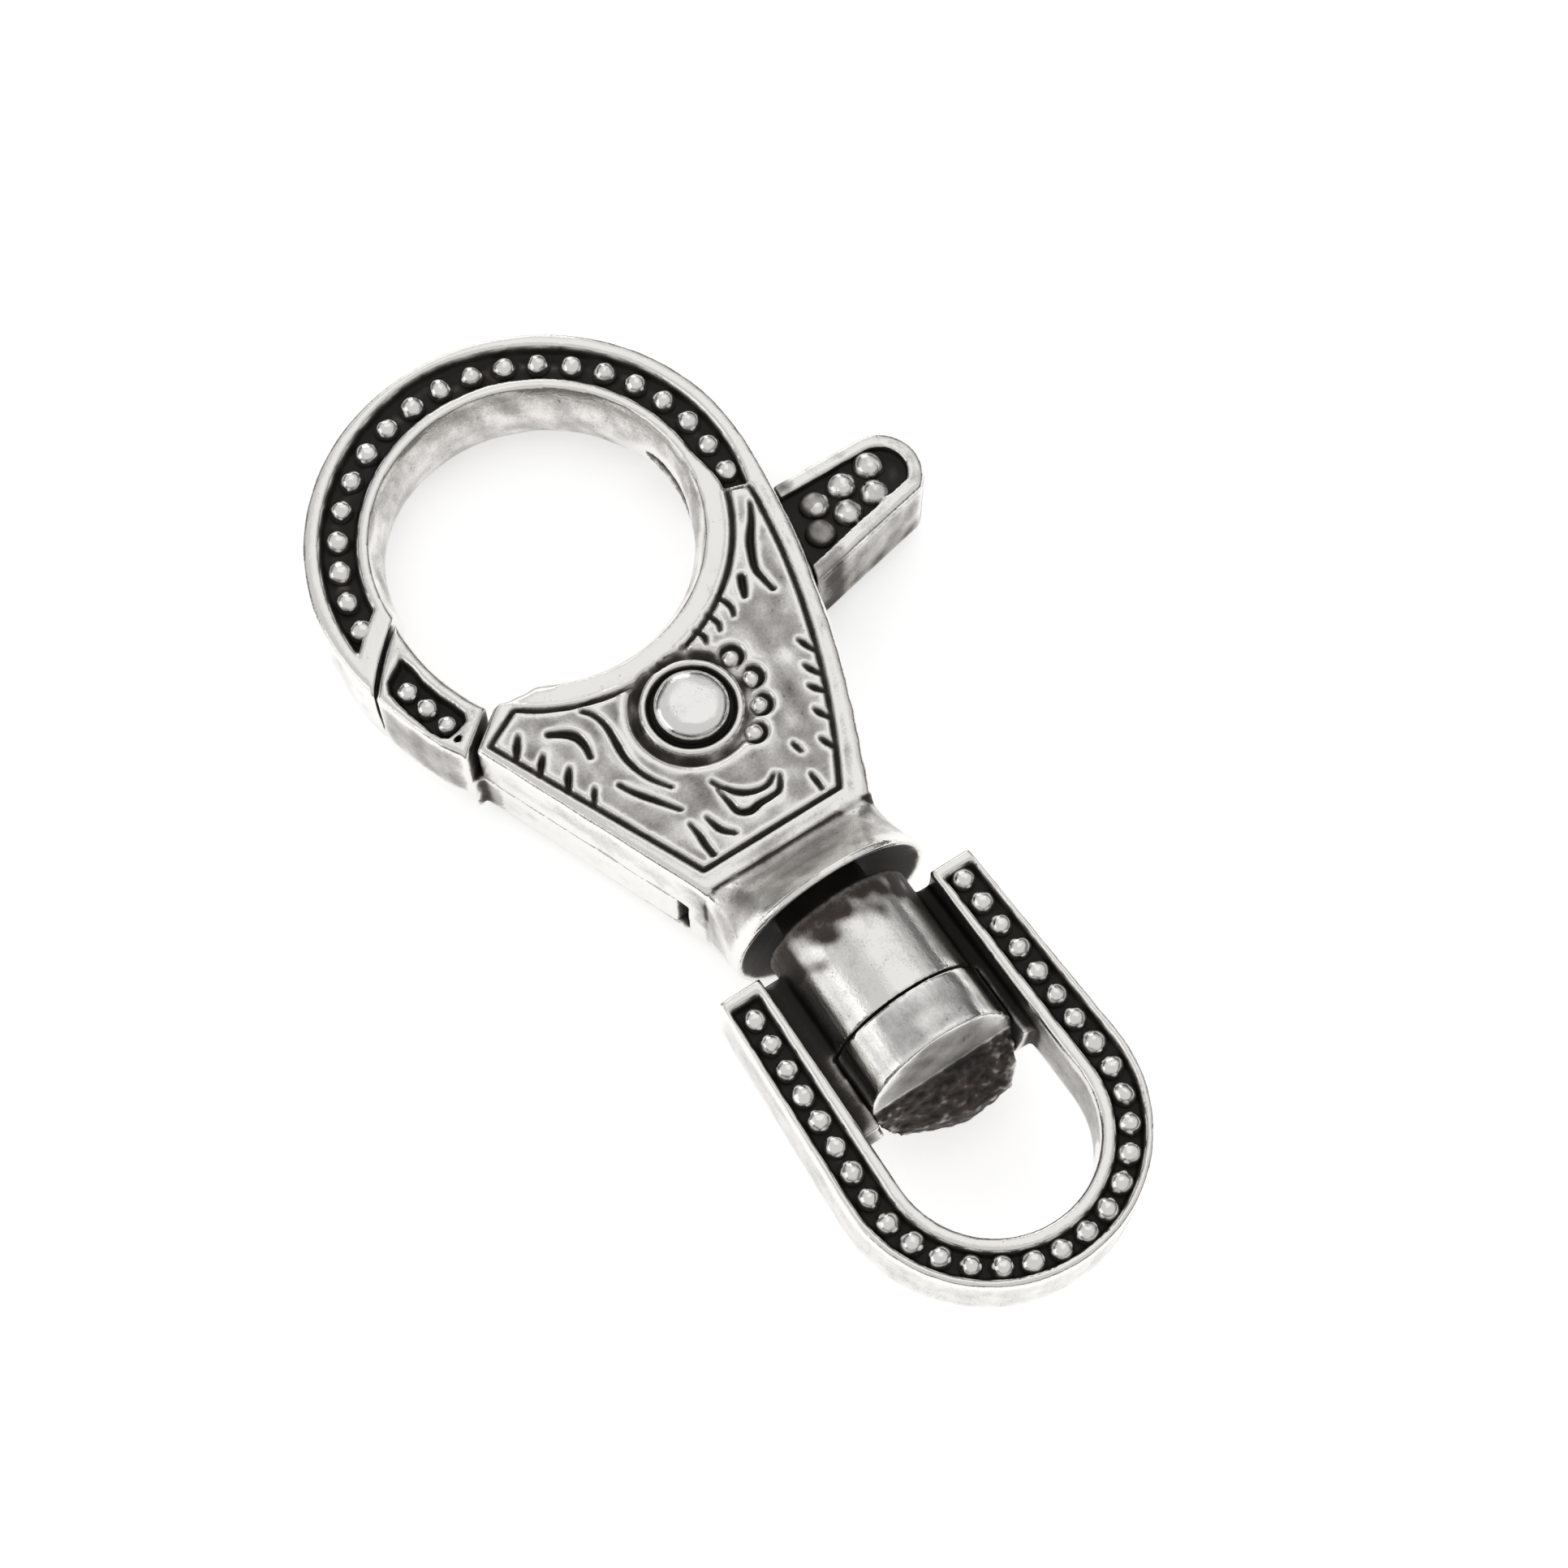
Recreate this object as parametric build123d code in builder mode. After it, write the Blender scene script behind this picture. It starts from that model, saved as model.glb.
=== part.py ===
import os
from math import atan2, cos, degrees, hypot, radians, sin

from build123d import *

os.makedirs("parts", exist_ok=True)

# Heights are counted from the swivel's axis. The front face is flat, and the back slopes away from it.
face_h = 1.7
tip_depth = 2.05

# Hook ring, centred on the origin
hole_r = 6.05
ring_r = 8.42
ring_side_h = 0.6
ring_foot_w = 0.6
ring_bulge = 0.45
ring_bulge_z = 0.1
ring_chamfer_w = 0.95
ring_chamfer_h = 1.3
ring_edge_r = 0.3

# Bead channel of the ring
channel_in_r = 6.38
channel_out_r = 7.81
channel_depth = 0.5
channel_start = 72
ring_bead_start = 77.4
ring_bead_step = 10.05
ring_bead_count = 20
ring_bead_r = 0.44
bead_rise = 0.08
nose_reach = 11.1
nose_rim = 0.75

# Shield body
body_end_x = 15.0
body_right_y = 4.25
body_left_y = -2.5
flank_x = 8.4
flank_y = 6.92
flank_start = 86
heel_x = 6.08
heel_in = 2.22
plate_end_angle = 129
plate_end_run = 1.75
plate_joins_hole = -33
body_edge_r = 0.25
body_back_edge = 0.8

# Engraving of the body
side_rim = 0.74
end_rim = 0.85
flank_rim = 0.82
corner_rim = 0.77
heel_rim = 0.5
tip_rim = 0.6
hole_rim = 0.93
line_start_angle = 71.2
line_end_angle = -38.2
line_w = 0.36
stroke_w = 0.28
engrave_depth = 0.3
tooth_w = 0.24
tooth_run = 0.75

# Gate pivot, its rivet and the pearls beside it
pivot_x = 8.8
pivot_y = 0.9
rivet_r = 0.95
rivet_head_r = 1.36
rivet_head_rise = 0.55
rivet_well_r = 1.56
rivet_ring_r = 1.84
rivet_moat_r = 2.1
rivet_inset = 0.1
pearl_r = 0.31
pearl_well_r = 0.5
pearl_orbit = 2.37
pearl_angles = (112, 86, 60, 34)

# Slot through the body, and the lever in it
slot_top = -0.6
slot_h = 1.35
deep_slot_h = 2.2
slot_start_x = -2.1
slot_end_x = 14.2
stub_start_x = 12.4
stub_side_y = 2.6
slot_gap = 0.05
pivot_gap = 0.04
lever_start_x = -0.9
lever_end_x = 13.7
lever_boss_r = 3.1
lever_inset = 0.4
hole_wall_inset = 0.06

# Gate
nose_gap = 0.12
gate_gap = 0.22
gate_drop = 0.38
gate_start_angle = 280
gate_side_x = 3.64
gate_side_in = 0.66
gate_shoulder_x = 5.3
gate_shoulder_in = 1.27
gate_end_run = 2.05
gate_in_points = ((2.82, -5.86), (-0.6, -5.86))
gate_edge_r = 0.25
gate_back_gap = 0.1
gate_rim = 0.42
gate_in_rim = 0.05
gate_bead_start = (2.75, -6.98)
gate_bead_step = (0.9, 0.22)
gate_bead_count = 3
gate_bead_r = 0.34

# Thumb tab
tab_left_x = 2.72
tab_corner_out = 3.48
tab_tip_x = 4.2
tab_tip_out = 5.03
tab_right_x = 5.75
tab_right_out = 4.33
tab_in = 2.12
tab_root_x = 6.85
tab_root_in = 0.72
tab_top = 1.1
tab_h = 3.3
tab_gap = 0.12
tab_rim = 0.62
tab_edge_r = 0.3
tab_recess_depth = 0.4
tab_bead_r = 0.45
tab_bead_x = 4.81
tab_bead_out = 0.49
tab_bead_pitch = 1.29
tab_bead_lean = 97
tab_bead_spread = 1.13
tab_bead_skew = -22

# Swivel: collar, pin and sleeve
swivel_y = 1.05
collar_x = 17.3
collar_r = 3.85
collar_land = 0.2
collar_step = 0.2
collar_lip = 0.16
collar_lip_edge_r = 0.05
collar_curve = 1.5
cup_depth = 0.85
cup_bottom_r = 2.0
stem_r = 1.2
stem_depth = 1.4
shoulder_r = 1.75
sleeve_start_x = 17.6
sleeve_end_x = 21.75
sleeve_r = 2.76
head_r = 2.86
head_len = 1.87
head_face_lean = 0.28
stub_len = 1.4
stub_step = 0.3
stub_top = 1.9
fit_gap = 0.03
swivel_gap = 0.06
face_gap = 0.1

# Bail
bail_y = 0.85
bail_start_x = 18.4
bail_arc_run = 5.25
bail_in_r = 3.58
bail_out_r = 5.2
bail_swell = 0.3
bail_pinch = 0.42
bail_in_pinch = 0.15
bail_half_h = 1.65
bail_channel_in_r = 4.02
bail_channel_out_r = 4.94
bail_channel_depth = 0.5
bail_channel_pinch = 0.29
bail_end_rim = 0.4
bail_bead_inset = 0.85
bail_bead_count = 30
bail_bead_r = 0.41
bail_edge_r = 0.15
bail_back_edge = 0.5
web_top = 0.35
web_bottom = 1.35
cheek_len = 2.85
cheek_gap = 0.08

# Shield ornament. Each stroke lists points as shares of the plate: along from the pivot to the body's end,
# and aside in half widths of that end, to the right of the pivot.
plate_strokes = {
    "hook": [(-0.33, -1.36), (-0.20, -1.10), (-0.13, -1.03), (-0.06, -1.12)],
    "long scroll": [(-0.30, -1.00), (-0.22, -0.85), (-0.05, -0.87), (0.14, -0.83), (0.35, -0.68)],
    "short scroll": [(0.17, -1.05), (0.34, -0.92), (0.50, -0.71)],
    "boat front": [(0.44, -0.29), (0.55, -0.18), (0.63, 0.02), (0.60, 0.26)],
    "boat back": [(0.60, -0.29), (0.69, -0.20), (0.69, 0.04), (0.60, 0.26)],
    "left dash": [(0.59, -0.73), (0.80, -0.70)],
    "right dash": [(0.60, -0.54), (0.77, -0.39)],
    "small dash": [(0.54, 0.68), (0.75, 0.61)],
    "flank scroll": [(-0.92, 1.84), (-0.71, 1.57), (-0.58, 1.45), (-0.37, 1.45)],
    "flank dash": [(-0.53, 1.26), (-0.42, 1.16)],
}

# Teeth of the shield's line: shares of the way along its left and right sides, and angles round the hole
left_teeth = (0.115, 0.24, 0.36)
right_teeth = (0.54, 0.62, 0.69, 0.77, 0.86)
left_tooth_angle = 148
right_tooth_angle = 236
notch_angles = (46, 40, 34, 28)

rest_x = collar_x - collar_land
back_slope = (collar_r - tip_depth) / (rest_x + ring_r)
back_angle = atan2(collar_r - tip_depth, rest_x + ring_r)
deep = -collar_r - 2
bead_line_r = (channel_in_r + channel_out_r) / 2
bail_arc_x = sleeve_end_x + bail_arc_run
ring_foot_r = hole_r + ring_foot_w
heel = (heel_x, heel_in - ring_r)
gate_side = (gate_side_x, gate_side_in - ring_r)
gate_shoulder = (gate_shoulder_x, gate_shoulder_in - ring_r)


def back_z(x):
    return -tip_depth - back_slope * (x + ring_r)


def polar(radius, angle, x=0, y=0):
    return (x + radius * cos(radians(angle)), y + radius * sin(radians(angle)))


def across(x):
    """Plane square to the swivel's axis at x: its own x runs along +Y and its own y up."""
    return Plane(origin=(x, swivel_y, 0), x_dir=(0, 1, 0), z_dir=(1, 0, 0))


def between(start, end, share):
    return (start[0] + share * (end[0] - start[0]), start[1] + share * (end[1] - start[1]))


def stroke(points, width):
    """Draws a round-ended stroke through the points into the open sketch."""
    for (x0, y0), (x1, y1) in zip(points, points[1:]):
        with Locations(((x0 + x1) / 2, (y0 + y1) / 2)):
            SlotCenterToCenter(hypot(x1 - x0, y1 - y0), width, rotation=degrees(atan2(y1 - y0, x1 - x0)))


def tooth(base, angle, run):
    stroke([base, polar(run, angle, *base)], tooth_w)


# The back plane, through the ring's tip and the collar's rim: the clasp lies on it
back_plane = Plane(
    origin=(0, 0, back_z(0)),
    x_dir=(cos(back_angle), 0, -sin(back_angle)),
    z_dir=(sin(back_angle), 0, cos(back_angle)),
)

pivot = (pivot_x, pivot_y)
plate_tip = polar(plate_end_run, plate_end_angle, *heel)
plate_half_w = (body_right_y - body_left_y) / 2
slot_bottom = slot_top - slot_h
deep_slot_bottom = slot_top - deep_slot_h
hole_corner = polar(hole_r, plate_joins_hole)
left_angle = degrees(atan2(body_left_y - heel[1], body_end_x - heel_x))

# Plan of the shield body, from the ring to the collar
with BuildSketch() as body_plan:
    with BuildLine():
        ThreePointArc(polar(ring_r, flank_start), (flank_x, flank_y), (body_end_x, body_right_y))
        Line((body_end_x, body_right_y), (body_end_x, body_left_y))
        Line((body_end_x, body_left_y), heel)
        Line(heel, plate_tip)
        Line(plate_tip, hole_corner)
        Line(hole_corner, (0, 0))
        Line((0, 0), polar(ring_r, flank_start))
    make_face()
    Circle(hole_r, mode=Mode.SUBTRACT)

with BuildPart() as body_block:
    with BuildSketch(Plane.XY.offset(deep)):
        add(body_plan.sketch)
    extrude(amount=face_h - deep)
    split(bisect_by=back_plane, keep=Keep.TOP)
    rim_edges = body_block.faces().sort_by(Axis.Z)[-1].edges()
    fillet(rim_edges.sort_by_distance((0, 0, face_h))[3:], body_edge_r)
    back_edges = body_block.faces().sort_by(Axis.Z)[0].edges().sort_by_distance((0, 0, deep))[3:]
    fillet(back_edges.sort_by(Axis.X)[:-1], body_back_edge)

# Ring section: flat rim, upright side, outer wall that rounds in towards the back, bulging inner wall
# and chamfered inner back edge
with BuildPart() as ring_block:
    with BuildSketch(Plane.XZ):
        with BuildLine():
            Line((hole_r, face_h), (ring_r - ring_edge_r, face_h))
            RadiusArc((ring_r - ring_edge_r, face_h), (ring_r, face_h - ring_edge_r), ring_edge_r)
            Line((ring_r, face_h - ring_edge_r), (ring_r, ring_side_h))
            EllipticalCenterArc(
                (ring_foot_r, ring_side_h),
                ring_r - ring_foot_r,
                ring_side_h - deep,
                start_angle=0,
                arc_size=-90,
            )
            bulge_low = (hole_r, 2 * ring_bulge_z - face_h)
            chamfer_low = (hole_r + ring_chamfer_w, bulge_low[1] - ring_chamfer_h)
            Line((ring_foot_r, deep), chamfer_low)
            Line(chamfer_low, bulge_low)
            ThreePointArc(bulge_low, (hole_r - ring_bulge, ring_bulge_z), (hole_r, face_h))
        make_face()
    revolve(axis=Axis.Z)
    with BuildSketch(Plane.XY.offset(deep)):
        with Locations(pivot):
            Circle(nose_reach)
        with Locations((0, hole_corner[1] + ring_r)):
            Rectangle(4 * ring_r, 2 * ring_r, mode=Mode.SUBTRACT)
    extrude(amount=face_h - deep, mode=Mode.SUBTRACT)
    split(bisect_by=back_plane, keep=Keep.TOP)

# Flared collar: square at the body's end, round at its rim
with BuildPart() as collar_block:
    base_left = body_left_y - swivel_y
    base_right = body_right_y - swivel_y
    base_top = face_h - collar_step
    base_bottom = back_z(body_end_x) + collar_step / 2
    flare_start_x = body_end_x - collar_land
    flare_run = rest_x - flare_start_x
    for share in (0, 0.3, 0.55, 0.8, 1):
        grown = share**collar_curve
        left = base_left - (collar_r + base_left) * grown
        right = base_right + (collar_r - base_right) * grown
        top = base_top + (collar_r - base_top) * grown
        bottom = base_bottom - (collar_r + base_bottom) * grown
        corner_r = body_edge_r + (0.98 * collar_r - body_edge_r) * share
        with BuildSketch(across(flare_start_x + share * flare_run)):
            with Locations(((left + right) / 2, (top + bottom) / 2)):
                RectangleRounded(right - left, top - bottom, corner_r)
    loft(ruled=True)
    with BuildSketch(across(rest_x)):
        Circle(collar_r)
    extrude(amount=collar_land)
    fillet(collar_block.edges().filter_by(GeomType.CIRCLE).sort_by(Axis.X)[-1], collar_lip_edge_r)

# Claw body: ring, shield and collar in one casting
shield_heel = polar(heel_rim, 76, *heel)
shield_left_x = body_end_x - end_rim
shield_left_y = heel[1] + (shield_left_x - heel_x) * (body_left_y - heel[1]) / (body_end_x - heel_x)
shield_left = (shield_left_x, shield_left_y + side_rim / cos(radians(left_angle)))
shield_right = (body_end_x - end_rim, body_right_y - corner_rim)
shield_flank = (flank_x, flank_y - flank_rim)
shield_tip = polar(ring_r - tip_rim, line_start_angle)
line_r = hole_r + hole_rim

with BuildSketch() as shield_plan:
    with BuildLine():
        Line(shield_heel, shield_left)
        Line(shield_left, shield_right)
        flank_line = ThreePointArc(shield_right, shield_flank, shield_tip)
        Line(shield_tip, polar(line_r, line_start_angle))
        ThreePointArc(polar(line_r, line_start_angle), (line_r, 0), polar(line_r, line_end_angle))
        Line(polar(line_r, line_end_angle), shield_heel)
    make_face()

with BuildSketch() as shield_line:
    add(shield_plan.sketch)
    offset(amount=line_w / 2, kind=Kind.INTERSECTION)
    with BuildSketch(mode=Mode.SUBTRACT):
        add(shield_plan.sketch)
        offset(amount=-line_w / 2, kind=Kind.INTERSECTION)

with BuildSketch() as teeth:
    for share in left_teeth:
        tooth(between(shield_heel, shield_left, share), left_tooth_angle, tooth_run)
    for share in right_teeth:
        base = flank_line @ (1 - share)
        tooth((base.X, base.Y), right_tooth_angle, tooth_run)
    for angle in notch_angles:
        tooth(polar(line_r, angle), angle, tooth_run)

with BuildSketch() as scrolls:
    plate_run = body_end_x - pivot_x
    for shares in plate_strokes.values():
        points = [(pivot_x + along * plate_run, pivot_y + aside * plate_half_w) for along, aside in shares]
        stroke(points, stroke_w)

with BuildSketch() as rivet_grooves:
    with Locations(pivot):
        Circle(rivet_moat_r)
    with Locations(*[polar(pearl_orbit, angle, *pivot) for angle in pearl_angles]):
        Circle(pearl_well_r)
    with Locations(pivot):
        Circle(rivet_ring_r, mode=Mode.SUBTRACT)

with BuildPart() as claw_body:
    add(ring_block.part)
    add(body_block.part)
    add(collar_block.part)
    # Slot for the lever, deeper on the side where the lever comes out
    with BuildSketch(Plane.XY.offset(slot_bottom)):
        with Locations((slot_start_x, 0)):
            Rectangle(stub_start_x - slot_start_x, 4 * ring_r, align=(Align.MIN, Align.MIN))
    extrude(amount=slot_h, mode=Mode.SUBTRACT)
    deep_slot_start = heel_x - plate_half_w
    with BuildSketch(Plane.XY.offset(deep_slot_bottom)):
        with Locations((deep_slot_start, -2 * ring_r)):
            Rectangle(slot_end_x - deep_slot_start, 2 * ring_r + stub_side_y, align=(Align.MIN, Align.MIN))
    extrude(amount=deep_slot_h, mode=Mode.SUBTRACT)
    # Bead channel, cut short by the nose's rim
    with BuildSketch(Plane.XY.offset(face_h - channel_depth)):
        Circle(channel_out_r)
        Circle(channel_in_r, mode=Mode.SUBTRACT)
        with BuildSketch(mode=Mode.SUBTRACT):
            with Locations(pivot):
                Circle(nose_reach + nose_rim)
            with BuildLine():
                Line((0, 0), polar(4 * ring_r, channel_start))
                Line(polar(4 * ring_r, channel_start), (-4 * ring_r, 4 * ring_r))
                Line((-4 * ring_r, 4 * ring_r), (-4 * ring_r, 0))
                Line((-4 * ring_r, 0), (0, 0))
            make_face(mode=Mode.SUBTRACT)
    extrude(amount=channel_depth, mode=Mode.SUBTRACT)
    for carved in (shield_line, teeth, scrolls, rivet_grooves):
        with BuildSketch(Plane.XY.offset(face_h - engrave_depth)):
            add(carved.sketch)
        extrude(amount=engrave_depth, mode=Mode.SUBTRACT)
    with BuildSketch(Plane.XY.offset(face_h - engrave_depth)):
        with Locations(pivot):
            Circle(rivet_well_r)
    extrude(amount=engrave_depth, mode=Mode.SUBTRACT)
    for bead in range(ring_bead_count):
        spot = polar(bead_line_r, ring_bead_start + bead * ring_bead_step)
        with Locations((*spot, face_h + bead_rise - ring_bead_r)):
            Sphere(ring_bead_r)
    for angle in pearl_angles:
        with Locations((*polar(pearl_orbit, angle, *pivot), face_h + bead_rise - pearl_r)):
            Sphere(pearl_r)
    # Collar's cup and the bores
    with BuildSketch(across(collar_x)):
        Circle(collar_r - collar_lip)
    with BuildSketch(across(collar_x - cup_depth)):
        Circle(cup_bottom_r)
    loft(mode=Mode.SUBTRACT)
    with BuildSketch(across(collar_x)):
        Circle(stem_r + fit_gap)
    extrude(amount=-cup_depth - stem_depth - fit_gap, mode=Mode.SUBTRACT)
    with Locations((*pivot, 0)):
        Cylinder(rivet_r + fit_gap, 4 * collar_r, mode=Mode.SUBTRACT)
claw_body.part.label = "claw_body"

# Rivet: a domed head over a straight shank
with BuildPart() as pivot_rivet:
    head_base = face_h - engrave_depth + fit_gap
    shank_base = back_z(pivot_x) + rivet_inset
    with BuildSketch(Plane(origin=(pivot_x, pivot_y, 0), x_dir=(1, 0, 0), z_dir=(0, -1, 0))):
        with BuildLine():
            Line((0, shank_base), (rivet_r, shank_base))
            Line((rivet_r, shank_base), (rivet_r, head_base))
            Line((rivet_r, head_base), (rivet_head_r, head_base))
            Line((rivet_head_r, head_base), (rivet_head_r, face_h))
            Bezier(
                (rivet_head_r, face_h),
                (rivet_head_r, face_h + rivet_head_rise),
                (rivet_head_r / 2, face_h + rivet_head_rise),
                (0, face_h + rivet_head_rise),
            )
            Line((0, face_h + rivet_head_rise), (0, shank_base))
        make_face()
    revolve(axis=Axis((pivot_x, pivot_y, 0), (0, 0, 1)))
pivot_rivet.part.label = "pivot_rivet"

# Gate and lever outlines
gate_heel = polar(gate_drop, plate_end_angle + 180, *polar(gate_gap, plate_end_angle + 90, *heel))
gate_tip = polar(gate_end_run, plate_end_angle, *gate_heel)


def gate_outline(in_rim):
    """Outline of the gate from above, with its inner edge moved out by in_rim."""
    start = polar(ring_r, gate_start_angle)
    in_edge = [(x, y - in_rim) for x, y in (gate_tip, *gate_in_points)]
    with BuildSketch() as outline:
        with BuildLine():
            ThreePointArc(start, gate_side, gate_shoulder)
            Line(gate_shoulder, gate_heel)
            Line(gate_heel, in_edge[0])
            ThreePointArc(*in_edge)
            Line(in_edge[-1], start)
        make_face()
        with Locations(pivot):
            Circle(nose_reach - nose_gap, mode=Mode.INTERSECT)
    return outline.sketch


tab_corner = (tab_left_x, ring_r + tab_corner_out)
tab_tip = (tab_tip_x, ring_r + tab_tip_out)
tab_right = (tab_right_x, ring_r + tab_right_out)
tab_root = (tab_root_x, ring_r - tab_root_in)
tab_in_y = ring_r - tab_in

with BuildSketch() as tab_plan:
    with BuildLine():
        Line((tab_left_x, tab_in_y), tab_corner)
        ThreePointArc(tab_corner, tab_tip, tab_right)
        Polyline(tab_right, tab_root, (tab_root_x, tab_in_y), (tab_left_x, tab_in_y))
    make_face()

with BuildSketch() as lever_plan:
    add(body_plan.sketch)
    with BuildSketch():
        Circle(ring_r - lever_inset)
        with Locations((lever_start_x, 0)):
            Rectangle(pivot_x - lever_start_x, 2 * ring_r, align=(Align.MIN, Align.MIN), mode=Mode.INTERSECT)
    with Locations((lever_end_x, 0)):
        Rectangle(4 * ring_r, 4 * ring_r, align=(Align.MIN, Align.CENTER), mode=Mode.SUBTRACT)
    with Locations((pivot_x - lever_inset, stub_side_y - lever_inset)):
        Rectangle(4 * ring_r, 4 * ring_r, align=(Align.MIN, Align.MIN), mode=Mode.SUBTRACT)
    with Locations(pivot):
        Circle(lever_boss_r)
    add(tab_plan.sketch)
    Circle(hole_r + hole_wall_inset, mode=Mode.SUBTRACT)
    with BuildLine():
        Polyline(heel, plate_tip, gate_tip, gate_heel, close=True)
    make_face()

with BuildSketch() as body_clear:
    add(body_plan.sketch)
    offset(amount=tab_gap)
    Circle(ring_r + tab_gap)

with BuildPart() as gate_block:
    with BuildSketch(Plane.XY.offset(deep)):
        add(gate_outline(0))
    extrude(amount=face_h - deep)
    split(bisect_by=back_plane.offset(gate_back_gap), keep=Keep.TOP)
    # The wall under the gate's side rounds in towards the back, as the ring's does
    side_start = polar(ring_r, gate_start_angle)
    side_arc = Edge.make_three_point_arc(side_start, gate_side, gate_heel)
    wall_r = side_arc.radius + gate_edge_r
    with BuildSketch(Plane(origin=side_arc.arc_center, x_dir=(0, -1, 0), z_dir=(1, 0, 0))):
        with BuildLine():
            Line((0, face_h), (wall_r, face_h))
            Line((wall_r, face_h), (wall_r, ring_side_h))
            EllipticalCenterArc(
                (wall_r - ring_r + ring_foot_r, ring_side_h),
                ring_r - ring_foot_r,
                ring_side_h - deep,
                start_angle=0,
                arc_size=-90,
            )
            Line((wall_r - ring_r + ring_foot_r, deep), (0, deep))
            Line((0, deep), (0, face_h))
        make_face()
    revolve(axis=Axis(side_arc.arc_center, (0, 0, 1)), mode=Mode.INTERSECT)
    top_edges = gate_block.faces().sort_by(Axis.Z)[-1].edges().sort_by_distance((0, 0, face_h))
    fillet(top_edges, gate_edge_r)

with BuildPart() as tab_block:
    with BuildSketch(Plane.XY.offset(tab_top - tab_h)):
        add(tab_plan.sketch)
        add(body_clear.sketch, mode=Mode.SUBTRACT)
    extrude(amount=tab_h)
    top_edges = tab_block.faces().sort_by(Axis.Z)[-1].edges().sort_by_distance((pivot_x, pivot_y, tab_top))
    bottom_edges = tab_block.faces().sort_by(Axis.Z)[0].edges().sort_by_distance((pivot_x, pivot_y, tab_top))
    fillet(top_edges[-3:] + bottom_edges[-3:], tab_edge_r)

with BuildPart() as gate_lever:
    add(gate_block.part)
    add(tab_block.part)
    with BuildSketch(Plane.XY.offset(slot_bottom + slot_gap)):
        add(lever_plan.sketch)
    extrude(amount=slot_h - 2 * slot_gap)
    with BuildSketch(Plane.XY.offset(deep_slot_bottom + slot_gap)):
        add(lever_plan.sketch)
        with Locations((0, pivot_y)):
            Rectangle(4 * collar_x, 4 * ring_r, align=(Align.CENTER, Align.MIN), mode=Mode.SUBTRACT)
    extrude(amount=deep_slot_h - 2 * slot_gap)
    with BuildSketch(Plane.XY.offset(face_h - channel_depth)):
        add(gate_outline(gate_in_rim))
        offset(amount=-gate_rim)
    extrude(amount=channel_depth, mode=Mode.SUBTRACT)
    with BuildSketch(Plane.XY.offset(tab_top - tab_recess_depth)):
        add(tab_plan.sketch)
        offset(amount=-tab_rim, kind=Kind.INTERSECTION)
    extrude(amount=tab_recess_depth, mode=Mode.SUBTRACT)
    for row in range(gate_bead_count):
        bead_x = gate_bead_start[0] + row * gate_bead_step[0]
        bead_y = gate_bead_start[1] + row * gate_bead_step[1]
        with Locations((bead_x, bead_y, face_h + bead_rise - gate_bead_r)):
            Sphere(gate_bead_r)
    for row in range(3):
        middle = polar(row * tab_bead_pitch, tab_bead_lean, tab_bead_x, ring_r + tab_bead_out)
        for side in (-0.5, 0.5):
            spot = polar(side * tab_bead_spread, tab_bead_skew, *middle)
            with Locations((*spot, tab_top + bead_rise - tab_bead_r)):
                Sphere(tab_bead_r)
    with Locations((*pivot, 0)):
        Cylinder(rivet_r + pivot_gap, 4 * collar_r, mode=Mode.SUBTRACT)
gate_lever.part.label = "gate_lever"

# Pin: stem in the collar, shoulder, bearing for the sleeve, and the cut-off head
with BuildPart() as swivel_pin:
    stem_x = collar_x - cup_depth - stem_depth
    shoulder_end = sleeve_start_x - face_gap
    head_x = sleeve_end_x + face_gap
    with BuildSketch(across(stem_x)):
        Circle(stem_r)
    extrude(amount=head_x - stem_x)
    with BuildSketch(across(collar_x - cup_depth + fit_gap)):
        Circle(shoulder_r)
    extrude(amount=shoulder_end - collar_x + cup_depth - fit_gap)
    head_end_x = head_x + head_len
    ledge_x = head_end_x + head_face_lean
    with BuildSketch(across(head_x)):
        Circle(head_r)
    extrude(amount=ledge_x + stub_len - head_x)
    # The head's upper half is cut off square, and its rough lower half stands out
    with BuildSketch(Plane.XZ.offset(-swivel_y)):
        with BuildLine():
            Polyline(
                (head_end_x, head_r),
                (ledge_x, 0),
                (ledge_x + stub_step / 3, -stub_step),
                (ledge_x + stub_len, -stub_top),
                (ledge_x + 2 * stub_len, -stub_top),
                (ledge_x + 2 * stub_len, 2 * head_r),
                (head_end_x, 2 * head_r),
                close=True,
            )
        make_face()
    extrude(amount=2 * head_r, both=True, mode=Mode.SUBTRACT)
swivel_pin.part.label = "swivel_pin"


def bail_line(reach, start_x, pinch, swell):
    """A line at reach round the bail's arc. Its legs swell by swell and close in by pinch at their start."""
    half_w = reach + swell
    arc_x = bail_arc_x - swell
    Line((start_x, bail_y - half_w + pinch), (arc_x, bail_y - half_w))
    ThreePointArc((arc_x, bail_y - half_w), (arc_x + half_w, bail_y), (arc_x, bail_y + half_w))
    Line((arc_x, bail_y + half_w), (start_x, bail_y + half_w - pinch))


def tongue(reach, start_x, pinch, swell):
    """The flat shape inside a bail line."""
    half_w = reach + swell - pinch
    with BuildSketch() as outline:
        with BuildLine():
            bail_line(reach, start_x, pinch, swell)
            Line((start_x, bail_y + half_w), (start_x, bail_y - half_w))
        make_face()
    return outline.sketch


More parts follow.
